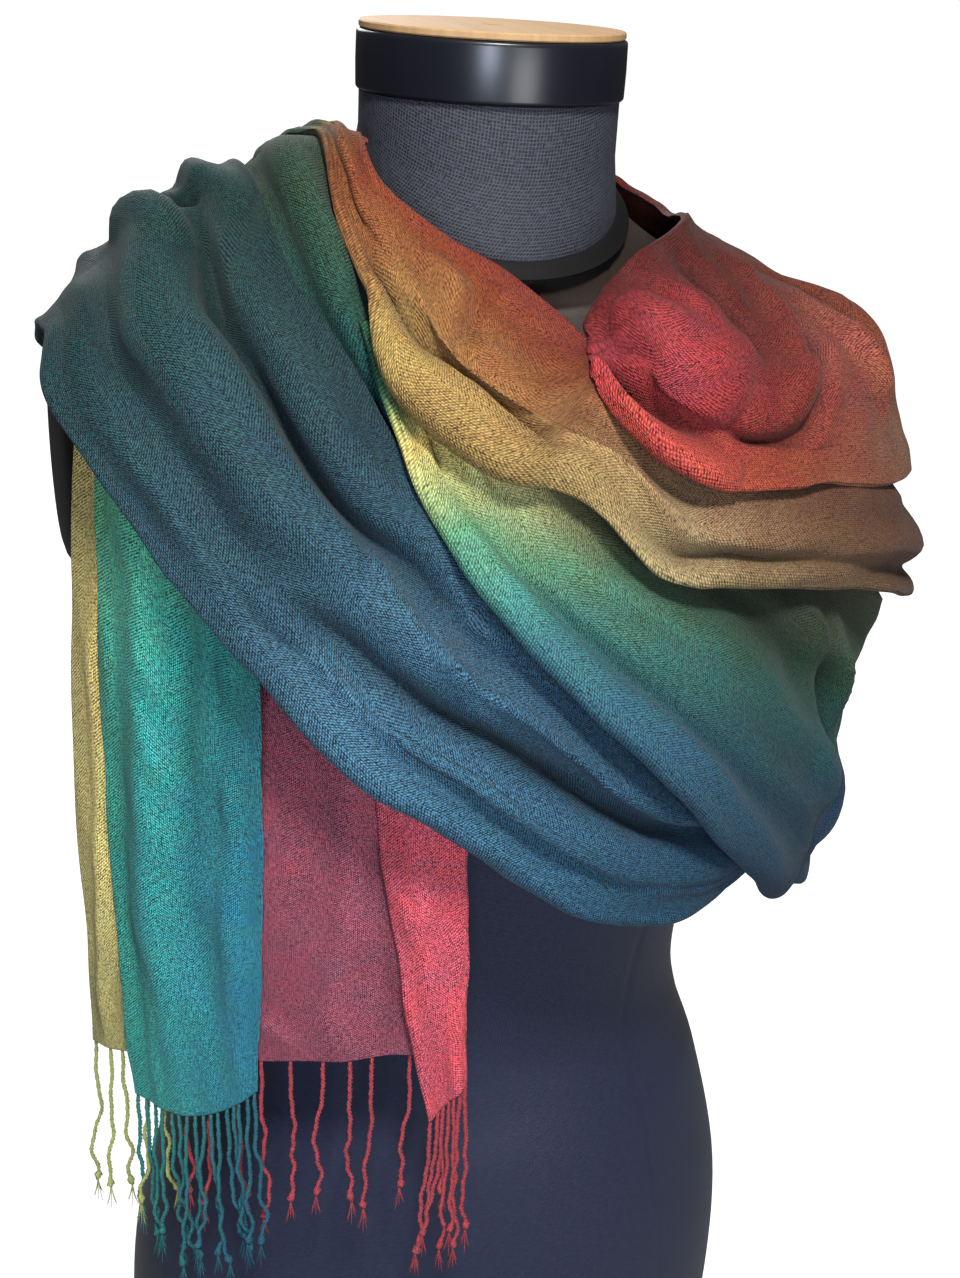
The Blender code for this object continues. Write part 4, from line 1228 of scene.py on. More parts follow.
def settle_fine(grid, thick, lies):
    """Push the fine cloth clear of the fine form and stretches below or above it."""
    rows, columns = grid.shape[:2]
    shift = np.zeros_like(grid)
    for turn in range(FINE_TURNS):
        now = grid + shift
        push = np.zeros_like(grid)
        for i in range(rows):
            share = i / (rows - 1)
            near = [lie for lie in lies if lie.along_from <= share <= lie.along_to]
            for j in range(columns):
                need = clearing_push(Vector(now[i, j]), thick[i, j], near)
                if need is not None:
                    push[i, j] = need
        shift += push
        pushed = np.abs(push).sum(axis=2, keepdims=True) > 0
        if not pushed.any():
            break
        if turn < FINE_SMOOTH_TURNS:
            for _ in range(3):
                shift = np.where(pushed, shift, 0.4 * shift + 0.6 * neighbour_mean(shift))
            shift = 0.7 * shift + 0.3 * neighbour_mean(shift)
    return grid + shift


fine_tree = form_tree(FINE_SIDES, FINE_STEPS)
fine = {"form": {"outer": fine_tree, "inner": fine_tree}}
print("fine layers lie", CLOTH_GAP, "mm apart")

# %% Make every fine stretch
# Uneven waves of the cloth: length along and across in millimetres, turn and height
Wave = namedtuple("Wave", "along across turn height")
WAVES = [Wave(173.0, 61.0, 0.4, 0.6), Wave(97.0, -47.0, 2.1, 0.4), Wave(61.0, 83.0, 4.0, 0.25),
         Wave(-39.0, 31.0, 1.2, 0.16)]
# How far apart two stretches are on these waves
WAVE_OFFSET = 37.0
# Length and share of the sideways waves of an edge
EDGE_WAVES = ((83.0, 1.0), (37.0, 0.5))
EDGE_SWAY = 0.5
# Painted shade in the folds and painted light on the ridges: millimetres of relief, change of tone
FOLD_RELIEF = (-10.0, -3.0, 0.0, 6.0)
FOLD_PAINTED_SHADE_AND_LIGHT = (-0.42, -0.16, 0.0, 0.10)


def swaying(grid, s, offset):
    """Small sideways steps of all points, so that no edge runs quite straight."""
    sideways = np.gradient(grid, axis=1)
    sideways /= np.linalg.norm(sideways, axis=2, keepdims=True)
    sway = sum(share * np.sin((s + offset) * 2 * np.pi / length) for length, share in EDGE_WAVES)
    return sideways * (EDGE_SWAY * sway)[:, :, None]


for number, stretch in enumerate(STRETCHES, 1):
    grid, u, v = refined(coarse[stretch.name]["grid"])
    s, t = lengths(grid)
    relief = np.zeros(s.shape)
    for crease in CREASES[stretch.name] + small_creases(number, s[-1, 0]):
        relief += crease_rise(crease, u, s, t)
    rise = lift_grid(stretch.name, u, v) + relief
    offset = WAVE_OFFSET * number
    for wave in WAVES:
        rise += wave.height * np.sin((s + offset) * 2 * np.pi / wave.along
                                     + t * 2 * np.pi / wave.across + wave.turn)
    grid += grid_normals(grid) * rise[:, :, None] + swaying(grid, s, offset)
    thick = thickness_of(stretch.name, s, t)
    grid = settle_fine(grid, thick, on("form") + stretch.lies)
    outer = grid + grid_normals(grid) * thick[:, :, None]
    shade, tone, faded = shade_grid(stretch.name, u, v)
    # Painted shade in the troughs and painted light on the ridges, from the relief of the creases
    tone = tone * (1 + np.interp(relief, FOLD_RELIEF, FOLD_PAINTED_SHADE_AND_LIGHT))
    fine[stretch.name] = sheet_trees(grid, outer)
    fine[stretch.name].update(inner_grid=grid, outer_grid=outer, shade=shade, tone=tone,
                              faded=faded)
    print(stretch.name, grid.shape[0], "by", grid.shape[1], "points")

# %% [markdown]
# ## Node helpers
#
# A material is a small network of nodes. It could be drawn in the shader editor, but in a script
# each node takes several lines. These helpers make a node, set its sockets and link it in one line.

# %% Helpers for nodes
def linear(hex_colour):
    """A colour written as six hex digits, as the renderer's linear red, green, blue and alpha."""
    parts = [int(hex_colour[k:k + 2], 16) / 255.0 for k in (0, 2, 4)]
    return tuple(p / 12.92 if p < 0.04045 else ((p + 0.055) / 1.055) ** 2.4
                 for p in parts) + (1.0,)


def fill(tree, node, inputs):
    """Set a node's sockets, each to a value or to another node's output."""
    for key, value in inputs.items():
        if isinstance(value, bpy.types.NodeSocket):
            tree.links.new(value, node.inputs[key])
        else:
            node.inputs[key].default_value = value


def add_node(tree, kind, inputs, **settings):
    """A new node with its settings and its filled sockets."""
    node = tree.nodes.new("ShaderNode" + kind)
    for setting, value in settings.items():
        setattr(node, setting, value)
    fill(tree, node, inputs)
    return node


def maths(tree, operation, *values):
    """The result of one arithmetic node."""
    return add_node(tree, "Math", dict(enumerate(values)), operation=operation).outputs[0]


def mixed(tree, factor, first, second):
    """A colour between two others. Sockets 6 and 7 of a Mix node are its two colours."""
    return add_node(tree, "Mix", {0: factor, 6: first, 7: second}, data_type="RGBA").outputs[2]


def scaled(tree, colour, light):
    """A colour made lighter or darker."""
    return add_node(tree, "VectorMath", {0: colour, "Scale": light}, operation="SCALE").outputs[0]


def noise(tree, place, scale, detail=2.0):
    """A cloudy value from 0 to 1."""
    return add_node(tree, "TexNoise", {0: place, "Scale": scale, "Detail": detail}).outputs[0]


def split(tree, vector):
    """The three parts of a vector."""
    return list(add_node(tree, "SeparateXYZ", {0: vector}).outputs)


print("white is", linear("ffffff"))

# %% Helpers for groups and materials
GROUPS = {}


def new_group(name, inputs, outputs):
    """An empty group and its two end nodes. An input whose default is None is a vector."""
    group = bpy.data.node_groups.new(name, "ShaderNodeTree")
    for title, value in inputs.items():
        kind = "NodeSocketVector" if value is None else "NodeSocketFloat"
        made = group.interface.new_socket(title, in_out="INPUT", socket_type=kind)
        if value is not None:
            made.default_value = value
    for title in outputs:
        kind = "NodeSocketColor" if title == "Color" else "NodeSocketFloat"
        group.interface.new_socket(title, in_out="OUTPUT", socket_type=kind)
    GROUPS[name] = group
    return group, group.nodes.new("NodeGroupInput").outputs, group.nodes.new("NodeGroupOutput")


def group_outputs(tree, name, inputs):
    """Place a shared group in a material and give its results."""
    return add_node(tree, "Group", inputs, node_tree=GROUPS[name]).outputs


def new_material(name):
    """A material, its tree and its shader."""
    made = bpy.data.materials.new(name)
    made.use_nodes = True
    return made, made.node_tree, made.node_tree.nodes["Principled BSDF"]


def cloth_place(tree):
    """The place on the flat cloth, in metres, from the map named cloth."""
    return add_node(tree, "UVMap", {}, uv_map="cloth").outputs[0]


def object_place(tree):
    """The place on the whole piece, in metres."""
    return add_node(tree, "TexCoord", {}).outputs["Object"]


def bump(tree, height, strength, distance):
    """The normal of a faint relief."""
    return add_node(tree, "Bump", {"Height": height, "Strength": strength,
                                   "Distance": distance}).outputs[0]


print("ready to make groups")

# %% [markdown]
# ## The dye as a group
#
# The cloth is dyed in one long run of colours. A picture of it would be simple, but a colour ramp
# stays sharp at any size and each colour can be changed alone. Where the cloth is faded, the grey
# of the same lightness takes the place of the colour.

# %% Make the dye
DYES = ["8e4a5e", "a8383a", "a1502c", "ad7b46", "b8a05a", "9fa664", "5a9c6c", "36958a",
        "2b7189", "28567c", "2a3e55"]
DYE_GAMMA = 2.2
DYE_LIGHT = 0.80

group, given, last = new_group("Dye", {"Shade": 0.0, "Tone": 1.0, "Faded": 0.0}, ["Color"])
steps = len(DYES) - 1
ramp = add_node(group, "ValToRGB", {0: maths(group, "DIVIDE", given["Shade"], float(steps))})
while len(ramp.color_ramp.elements) < len(DYES):
    ramp.color_ramp.elements.new(1.0)
for k, dye in enumerate(DYES):
    ramp.color_ramp.elements[k].position = k / steps
    ramp.color_ramp.elements[k].color = linear(dye)
dyed = ramp.outputs[0]
grey = add_node(group, "RGBToBW", {0: dyed}).outputs[0]
light = maths(group, "MULTIPLY", maths(group, "POWER", given["Tone"], DYE_GAMMA), DYE_LIGHT)
fill(group, last, {"Color": scaled(group, mixed(group, given["Faded"], dyed, grey), light)})
print(len(DYES), "dyes")

# %% [markdown]
# ## The twill weave as a group
#
# Up close the cloth is a twill: slanting ribs that turn back every few millimetres, as in a
# herringbone. Real threads would be millions of faces, so sine waves draw the ribs and the threads
# that cross them. A little noise keeps them from looking printed.

# %% Make the twill
TWILL_PITCH = 0.0014
TWILL_REPEAT = 0.024
TWILL_NOISE_SCALE = 420.0
TWILL_NOISE = 0.0013
CROSS_THREADS = 1.6
CROSS_DEPTH = 0.40

group, given, last = new_group("Twill", {"Cloth": None, "Pitch": TWILL_PITCH,
                                         "Repeat": TWILL_REPEAT}, ["Light", "Height"])
along, across, _ = split(group, given["Cloth"])
turn = maths(group, "PINGPONG", across, maths(group, "MULTIPLY", given["Repeat"], 0.5))
uneven = maths(group, "MULTIPLY", noise(group, given["Cloth"], TWILL_NOISE_SCALE, 1.0), TWILL_NOISE)
slant = maths(group, "ADD", maths(group, "ADD", along, turn), uneven)
rib = maths(group, "SINE", maths(group, "MULTIPLY", maths(group, "DIVIDE", slant, given["Pitch"]),
                                 math.tau))
cross = maths(group, "SINE", maths(group, "MULTIPLY",
                                   maths(group, "DIVIDE", across, given["Pitch"]),
                                   math.tau * CROSS_THREADS))
both = maths(group, "MULTIPLY", maths(group, "MULTIPLY_ADD", rib, 0.5, 0.5),
             maths(group, "MULTIPLY_ADD", cross, CROSS_DEPTH, 1.0 - CROSS_DEPTH))
fill(group, last, {"Height": both, "Light": maths(group, "MULTIPLY_ADD", both, 2.4, -0.72)})
print("ribs every", TWILL_PITCH * 1000, "mm")

# %% [markdown]
# ## Uneven threads as a group
#
# The yarn is thicker here and thinner there. Each thicker bit is a slub, a short light or dark
# dash along a thread. Noise that is stretched along one thread direction gives such dashes, and a
# slower noise gives the cloth its blotches.

# %% Make the slubs
# How often the noise changes in a metre, along and across the cloth, for the two thread directions
SLUB_SCALES = ((240.0, 1500.0, 1.0), (1500.0, 300.0, 1.0))
PATCH_SCALE = 60.0
GRAIN_SCALE = 850.0

group, given, last = new_group("Slubs", {"Cloth": None}, ["Light", "Patch", "Grain"])
dashes = [noise(group, add_node(group, "Mapping", {0: given["Cloth"], "Scale": scale}).outputs[0],
                1.0) for scale in SLUB_SCALES]
patch = noise(group, given["Cloth"], PATCH_SCALE, 3.0)
grain = noise(group, given["Cloth"], GRAIN_SCALE, 1.0)
fill(group, last, {
    "Light": maths(group, "SUBTRACT", maths(group, "ADD", *dashes), 1.0),
    "Patch": maths(group, "SUBTRACT", patch, 0.5),
    "Grain": maths(group, "SUBTRACT", grain, 0.5),
})
print(len(SLUB_SCALES), "directions of thread")

# %% [markdown]
# ## The shawl's materials
#
# The cloth is matt and soft, with a faint sheen where light grazes it. Shade, tone and fading come
# from the mesh, so one recipe serves every stretch. The threads show more on dark cloth, so each
# stretch has its own contrast.

# %% Make the cloth materials
# How strongly the threads show; the dark stretches and the two ends show them most
THREADS = {"lower_swath": 0.90, "shoulder_fold": 0.90, "side_loop": 0.80, "back_swath": 0.80,
           "tail_front": 0.85, "tail_back": 0.75, "tail_flap": 0.75, "neck_cowl": 0.70}
PLAIN_THREADS = 0.60
SLUB_STRENGTH = 2.2
GRAIN_STRENGTH = 3.0
PATCH_STRENGTH = 0.35
DYE_DRIFT = 0.9
DARKEST = 0.12


def cloth_material(name, contrast):
    """Dyed, woven cloth that reads its shade from the mesh."""
    made, tree, shader = new_material(name)
    shade, tone, faded = (add_node(tree, "Attribute", {}, attribute_name=value).outputs["Fac"]
                          for value in ("shade", "tone", "faded"))
    cloth = cloth_place(tree)
    twill = group_outputs(tree, "Twill", {"Cloth": cloth})
    slubs = group_outputs(tree, "Slubs", {"Cloth": cloth})
    drift = maths(tree, "MULTIPLY_ADD", slubs["Patch"], DYE_DRIFT, shade)
    dye = group_outputs(tree, "Dye", {"Shade": drift, "Tone": tone, "Faded": faded})["Color"]
    light = 1.0
    for threads, strength in ((twill["Light"], contrast),
                              (slubs["Light"], contrast * SLUB_STRENGTH),
                              (slubs["Patch"], PATCH_STRENGTH),
                              (slubs["Grain"], contrast * GRAIN_STRENGTH)):
        light = maths(tree, "MULTIPLY_ADD", threads, strength, light)
    light = maths(tree, "MAXIMUM", light, DARKEST)
    fill(tree, shader, {
        "Base Color": scaled(tree, dye, light), "Roughness": 0.72, "Specular IOR Level": 0.18,
        "Sheen Weight": 0.04, "Sheen Roughness": 0.45,
        "Normal": bump(tree, twill["Height"], 0.6, 0.0005),
    })
    return made


CLOTHS = {stretch.name: cloth_material(stretch.name + "_twill",
                                       THREADS.get(stretch.name, PLAIN_THREADS))
          for stretch in STRETCHES}
print(len(CLOTHS), "cloth materials and", len(GROUPS), "shared groups")

# %% [markdown]
# ## Meshes
#
# A piece is a mesh of points and faces that rides the form's body. The map named cloth gives each
# point its place on the flat cloth in metres, so that the weave is the same size everywhere.

# %% Helpers for meshes
def make_piece(name, points_mm, faces, material):
    """A smooth mesh object in metres from points in millimetres."""
    mesh = bpy.data.meshes.new(name)
    mesh.from_pydata([tuple(float(c) * MM for c in p) for p in points_mm], [], faces)
    mesh.materials.append(material)
    mesh.shade_smooth()
    mesh.transform(Matrix.Translation(ORIGIN))
    made = bpy.data.objects.new(name, mesh)
    bpy.context.scene.collection.objects.link(made)
    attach(made, "root")
    return made


def add_map(mesh, values):
    """Store one flat position for each vertex, as the map that the weave is read from."""
    layer = mesh.uv_layers.new(name="cloth")
    index = np.empty(len(mesh.loops), int)
    mesh.loops.foreach_get("vertex_index", index)
    layer.data.foreach_set("uv", values[index].astype(np.float32).ravel())


def add_value(mesh, name, values):
    """Store one number for each vertex under a name that a material can read."""
    layer = mesh.attributes.new(name, "FLOAT", "POINT")
    layer.data.foreach_set("value", values.astype(np.float32).ravel())


print("pieces are moved by", [round(c, 4) for c in ORIGIN], "m")

# %% [markdown]
# ## The cloth
#
# A plane with a Solidify modifier would be the usual way to give cloth a wall. Here the inner and
# the outer grid are already there, each with its own rounding, so they are joined round the border
# into one thin closed skin.

# %% Make the cloth
def border_of(rows, columns):
    """The outermost points of a grid, once round."""
    loop = [i * columns for i in range(rows)]
    loop += [(rows - 1) * columns + j for j in range(1, columns)]
    loop += [i * columns + columns - 1 for i in range(rows - 2, -1, -1)]
    return loop + [j for j in range(columns - 2, 0, -1)]


for stretch in STRETCHES:
    laid = fine[stretch.name]
    inner, outer = laid["inner_grid"], laid["outer_grid"]
    count = inner.shape[0] * inner.shape[1]
    quads = quads_of(*inner.shape[:2])
    faces = [tuple(reversed(q)) for q in quads] + [tuple(k + count for k in q) for q in quads]
    border = border_of(*inner.shape[:2])
    for a, b in zip(border, border[1:] + border[:1]):
        faces.append((a, b, b + count, a + count))
    points = np.concatenate([inner.reshape(-1, 3), outer.reshape(-1, 3)])
    piece = make_piece(stretch.name + "_cloth", points, faces, CLOTHS[stretch.name])
    s, t = lengths(inner)
    flat = np.stack([s, t], axis=-1).reshape(-1, 2) * MM
    add_map(piece.data, np.concatenate([flat, flat]))
    for value in ("shade", "tone", "faded"):
        add_value(piece.data, value, np.concatenate([laid[value].ravel()] * 2))
    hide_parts(stretch.name)
    laid["flat"] = (float(t[:, -1].mean()) * MM, float(s[-1, 0]) * MM)
    print(piece.name, "cut", [round(x, 3) for x in laid["flat"]], "m")

# %% [markdown]
# ## One strand of the fringe
#
# A strand is two plies twisted round each other. It leaves the hem, hangs with a few slack bends,
# and ends in a small knot and a loose tuft. Blender's hair could do this, but hair has no solid
# surface to print or export, so each ply and each hair of the tuft is a thin closed tube.

# %% The line and the tube of a strand
PLY_RADIUS = 0.74
PLY_OFFSET = 0.62
PLY_SIDES = 5
TWIST_PITCH = 4.2
STRAND_RINGS = 64
# How far a strand bends to its sides and how far it strays by its end, in millimetres
BROAD_BEND = 4.5
LIVELY_BEND = 2.0
LEAST_LIVELY_BEND = 0.5
SMALL_BEND = 0.8
SIDE_DRIFT = 15.0
OUTWARD_BEND = 3.4
OUTWARD_DRIFT = 1.6
PHASE = 6.3
# A direction that no strand follows, to find the two directions across a tube
ASKEW = (0.31, 0.95, 0.05)


def tube(points, faces, line, radii, sides):
    """Add a round closed tube along a line of points."""
    first = len(points)
    line = np.asarray(line)
    ahead = np.gradient(line, axis=0)
    ahead /= np.linalg.norm(ahead, axis=1, keepdims=True)
    aside = np.cross(ahead, ASKEW)
    aside /= np.linalg.norm(aside, axis=1, keepdims=True)
    other = np.cross(ahead, aside)
    for k, centre in enumerate(line):
        for i in range(sides):
            turn = math.tau * i / sides
            out = aside[k] * math.cos(turn) + other[k] * math.sin(turn)
            points.append(centre + out * radii[k])
    faces += [tuple(first + k for k in f) for f in ring_faces(len(line), sides)]


def strand_line(foot, number, kind, length):
    """The slack middle line of one strand."""
    w = np.linspace(0.0, 1.0, STRAND_RINGS)
    a, b, c, d = (chance(number, kind, k) for k in range(1, 5))
    aside = (BROAD_BEND * (a - 0.5) * np.sin(2.2 * np.pi * w + PHASE * b) * w
             + (LEAST_LIVELY_BEND + LIVELY_BEND * a)
             * np.sin((3.4 + 4 * c) * np.pi * w + PHASE * d) * w ** 0.8
             + SMALL_BEND * np.sin((9.0 + 5 * d) * np.pi * w + PHASE * b) * w
             + SIDE_DRIFT * (c - 0.5) * w ** 1.5)
    out = (OUTWARD_BEND * (d - 0.5) * np.sin(3.4 * np.pi * w + PHASE * c) * w
           + OUTWARD_DRIFT * w)
    return foot + np.stack([aside, -out, -length * w], axis=1)


print("a strand has", STRAND_RINGS, "rings")

# %% A whole strand with its knot and tuft
STRAND_LENGTH = 90.0
KNOT_SWELL = 1.5
KNOT_REACH = 0.016
ROOT_BLEND = 30
ROOT_LEAST = 0.3
TUFT_HAIRS = 7
TUFT_LENGTH = 12.0
HAIR_RADIUS = 0.32
HAIR_SIDES = 3
HAIR_STEPS = 5


def tuft_hair(number, hair):
    """The line of one hair of a tuft, from the strand's end."""
    turn = math.tau * hair / TUFT_HAIRS
    reach = TUFT_LENGTH * (0.7 + 0.5 * chance(number, hair, 3))
    w = np.linspace(0, 1, HAIR_STEPS)
    spread = (0.5 + 1.5 * w) * (0.3 + w)
    return np.stack([spread * math.cos(turn), spread * math.sin(turn), -reach * w], axis=1)


def add_strand(points, faces, foot, number, kind):
    """Add two twisted plies that swell into a knot, and the tuft below it."""
    length = STRAND_LENGTH * (0.92 + 0.20 * chance(number, kind, 9))
    line = strand_line(foot, number, kind + 1, length)
    w = np.linspace(0, 1, STRAND_RINGS)
    turn = math.tau * w * length / TWIST_PITCH
    knot_at = 0.86 + 0.06 * chance(number, kind, 7)
    swell = 1 + KNOT_SWELL * np.exp(-((w - knot_at) / KNOT_REACH) ** 2)
    stop = int(knot_at * STRAND_RINGS) + 2
    apart = PLY_OFFSET * np.clip(w * ROOT_BLEND, ROOT_LEAST, 1)
    for ply in (0.0, math.pi):
        wound = line.copy()
        wound[:, 0] += apart * np.cos(turn + ply)
        wound[:, 1] += apart * np.sin(turn + ply)
        tube(points, faces, wound[:stop], PLY_RADIUS * swell[:stop], PLY_SIDES)
    thin = HAIR_RADIUS * (1 - 0.5 * np.linspace(0, 1, HAIR_STEPS))
    for hair in range(TUFT_HAIRS):
        tube(points, faces, line[stop - 1] + tuft_hair(number, hair), thin, HAIR_SIDES)


print("a strand is about", STRAND_LENGTH, "mm long")

# %% [markdown]
# ## The fringe
#
# The strands stand side by side along a hem, not quite evenly. Each takes its colour from the
# cloth that it leaves: the back end changes from green to red at its selvedge, the woven edge.

# %% Make the fringe
# Which hem a fringe hangs from, how many strands it has, between which shares of the hem, the
# shades of its first and last strand, how light it is, and the shade that its tips gain
Fringe = namedtuple("Fringe", "name hem count from_share to_share slot shade_start shade_end "
                              "tone tip_shade")
FRINGES = [
    Fringe("fringe_back", "tail_back", 15, 0.02, 0.97, "cloth_dusky", 5.0, 0.7, 1.08, 0.0),
    Fringe("fringe_flap", "tail_flap", 7, 0.06, 0.94, "cloth_bright", 0.6, 0.8, 1.08, 0.0),
    Fringe("fringe_front", "tail_front", 16, 0.03, 0.97, "cloth_teal", 6.7, 7.7, 0.86, 0.5),
]
STRAND_JITTER = 0.4
SHADE_BEND = 0.6
# The weave's map on the fringe is this much larger than life
FRINGE_MAP_SCALE = 3


def strand_shade(fringe, share):
    """The shade of the strand at this share of the hem."""
    if fringe.hem in SELVEDGES:
        return fringe.shade_start if share < SELVEDGES[fringe.hem] else fringe.shade_end
    return fringe.shade_start + (fringe.shade_end - fringe.shade_start) * share ** SHADE_BEND


for kind, fringe in enumerate(FRINGES):
    laid = fine[fringe.hem]
    hem = (laid["inner_grid"][-1] + laid["outer_grid"][-1]) / 2
    run = np.concatenate([[0.0], np.cumsum(np.linalg.norm(np.diff(hem, axis=0), axis=1))])
    points, faces, shades = [], [], []
    for number in range(fringe.count):
        share = fringe.from_share
        share += (fringe.to_share - fringe.from_share) * number / (fringe.count - 1)
        share += STRAND_JITTER * (chance(number, kind) - 0.5) / fringe.count
        place = min(max(share, 0.01), 0.99) * run[-1]
        foot = np.array([np.interp(place, run, hem[:, k]) for k in range(3)])
        started = len(points)
        add_strand(points, faces, foot, number, kind)
        heights = np.array([p[2] for p in points[started:]])
        down = (heights.max() - heights) / (heights.max() - heights.min())
        shades.append(strand_shade(fringe, share) + fringe.tip_shade * down)
    piece = make_piece(fringe.name + "_threads", points, faces, CLOTHS[fringe.hem])
    add_value(piece.data, "shade", np.concatenate(shades))
    add_value(piece.data, "tone", np.full(len(points), fringe.tone))
    add_map(piece.data, np.array([(p[0], p[2]) for p in points]) * MM * FRINGE_MAP_SCALE)
    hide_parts(fringe.name)
    print(piece.name, fringe.count, "strands")

# %% [markdown]
# ## Knit and net as groups
#
# Jersey is knitted: columns of small slanting stitches. The neck's cover is a net: two sets of
# thin threads with open holes. Both are drawn from the flat cloth's two distances, like the twill.

# %% Make the knit
group, given, last = new_group("Knit", {"Cloth": None, "Pitch": 0.0012}, ["Light", "Height"])
around, up = (maths(group, "MULTIPLY", maths(group, "DIVIDE", part, given["Pitch"]), math.tau)
              for part in split(group, given["Cloth"])[:2])
column = maths(group, "SINE", around)
slant = maths(group, "MULTIPLY", maths(group, "ABSOLUTE", column), 2.0)
stitch = maths(group, "SINE", maths(group, "ADD", up, slant))
both = maths(group, "ADD", maths(group, "MULTIPLY", column, 0.3),
             maths(group, "MULTIPLY", stitch, 0.2))
fill(group, last, {"Light": both, "Height": maths(group, "ADD", both, 0.5)})
print("made the knit")

# %% Make the net
group, given, last = new_group("Net", {"Cloth": None, "Pitch": 0.0015, "Thread": 0.34}, ["Mask"])
half = maths(group, "MULTIPLY", given["Pitch"], 0.5)
lines = []
for part in split(group, given["Cloth"])[:2]:
    share = maths(group, "DIVIDE", maths(group, "PINGPONG", part, half), half)
    lines.append(maths(group, "LESS_THAN", share, given["Thread"]))
fill(group, last, {"Mask": maths(group, "MAXIMUM", *lines)})
print("made the net, 1 on a thread and 0 in a hole")

# %% [markdown]
# ## The form's materials
#
# The torso wears a fine navy jersey, painted browner at the shoulders as painted light where the
# lamps reach it.
# The neck has a black cover under the open net, the cap smooth satin, and the disc on top pale bare
# wood. Glossy oval plates close the armholes. Each is a few nodes, with no picture.

# %% Make the jersey and the net
# The jersey turns from its lower colour to the browner painted light of the shoulders between
# these heights, in metres
JERSEY_LOWER, JERSEY_PAINTED_LIGHT = "222639", "302824"
JERSEY_PAINTED_LIGHT_HEIGHTS = (0.62, 0.72)


def jersey_material():
    made, tree, shader = new_material("navy_jersey")
    cloth = cloth_place(tree)
    knit = group_outputs(tree, "Knit", {"Cloth": cloth})
    slubs = group_outputs(tree, "Slubs", {"Cloth": cloth})
    # The browner shoulders are painted light, blended in by height
    height = split(tree, object_place(tree))[2]
    band = add_node(tree, "MapRange", {"Value": height, "From Min": JERSEY_PAINTED_LIGHT_HEIGHTS[0],
                                       "From Max": JERSEY_PAINTED_LIGHT_HEIGHTS[1]}).outputs[0]
    light = maths(tree, "MULTIPLY_ADD", knit["Light"], 0.70, 1.0)
    light = maths(tree, "MULTIPLY_ADD", slubs["Light"], 0.90, light)
    ground = mixed(tree, band, linear(JERSEY_LOWER), linear(JERSEY_PAINTED_LIGHT))
    fill(tree, shader, {"Base Color": scaled(tree, ground, light), "Roughness": 0.40,
                        "Specular IOR Level": 0.20,
                        "Normal": bump(tree, knit["Height"], 0.3, 0.0003)})
    return made


def net_material():
    made, tree, shader = new_material("neck_net")
    cloth = cloth_place(tree)
    net = group_outputs(tree, "Net", {"Cloth": cloth})
    slubs = group_outputs(tree, "Slubs", {"Cloth": cloth})
    thread = maths(tree, "MULTIPLY_ADD", slubs["Light"], 2.4, net["Mask"])
    thread = maths(tree, "MULTIPLY_ADD", slubs["Grain"], 1.2, thread)
    fill(tree, shader, {"Base Color": mixed(tree, thread, linear("040405"), linear("393b48")),
                        "Roughness": 0.75, "Normal": bump(tree, net["Mask"], 0.5, 0.0002)})
    return made


FORM_MATERIALS = {"jersey": jersey_material(), "net": net_material()}
print("made", ", ".join(FORM_MATERIALS))

# %% Make the satin, the wood, the plates and the tape
# The wood's grain changes fast from side to side and slowly along
GRAIN_STRETCH = (400.0, 25.0, 25.0)


def satin_material():
    made, tree, shader = new_material("navy_satin")
    fill(tree, shader, {"Base Color": linear("101119"), "Roughness": 0.30,
                        "Specular IOR Level": 0.45})
    return made


def wood_material():
    made, tree, shader = new_material("pale_wood")
    stretched = add_node(tree, "Mapping", {0: object_place(tree), "Scale": GRAIN_STRETCH})
    grain = noise(tree, stretched.outputs[0], 1.0, 4.0)
    fill(tree, shader, {"Base Color": mixed(tree, grain, linear("8f6c45"), linear("b9976c")),
                        "Roughness": 0.6})
    return made


def plain_material(name, colour, roughness):
    """One colour, a little smoother here and rougher there."""
    made, tree, shader = new_material(name)
    cloud = noise(tree, object_place(tree), 40.0)
    spread = maths(tree, "MULTIPLY_ADD", cloud, 0.12, roughness - 0.06)
    fill(tree, shader, {"Base Color": linear(colour), "Roughness": spread,
                        "Specular IOR Level": 0.2})
    return made


FORM_MATERIALS |= {
    "satin": satin_material(), "wood": wood_material(),
    "plate": plain_material("glossy_plate", "0b0807", 0.60),
    "tape": plain_material("black_tape", "08080a", 0.7),
}
print(len(FORM_MATERIALS), "materials on the form")

# %% [markdown]
# ## The torso and its seams
#
# A form's cover is cut in panels, and each pair meets in a long princess seam. The seam could be
# painted on, but light catches a real groove. So the rings are pressed in a little where a seam
# runs, four times round the body.

# %% Make the torso
FORM_SIDES = 288
TORSO_RINGS = 150
SEAM_DEPTH = 0.9
SEAM_WIDTH = 1.6
# Where a seam runs round the torso, in degrees from the wearer's left, at each height
Seam = namedtuple("Seam", "height turn")
PRINCESS_SEAM = [Seam(0.0, -52.0), Seam(200.0, -54.0), Seam(382.0, -56.0), Seam(600.0, -54.0),
                 Seam(740.0, -50.0)]


def ring_map(rings):
    """Distance round and up the form for every ring point."""
    rings = np.array(rings)
    round_by = np.linalg.norm(rings - np.roll(rings, 1, axis=1), axis=2)
    around = np.cumsum(round_by, axis=1)
    up = np.cumsum(np.linalg.norm(np.diff(rings, axis=0, prepend=rings[:1]), axis=2), axis=0)
    return np.stack([around, up], axis=-1).reshape(-1, 2) * MM


def form_piece(name, rings, finish):
    """A closed piece of the form from a stack of rings."""
    points = [p for ring in rings for p in ring]
    piece = make_piece(name, points, ring_faces(len(rings), len(rings[0])), FORM_MATERIALS[finish])
    piece.data.set_sharp_from_angle(angle=math.radians(50.0))
    add_map(piece.data, ring_map(rings))
    return piece


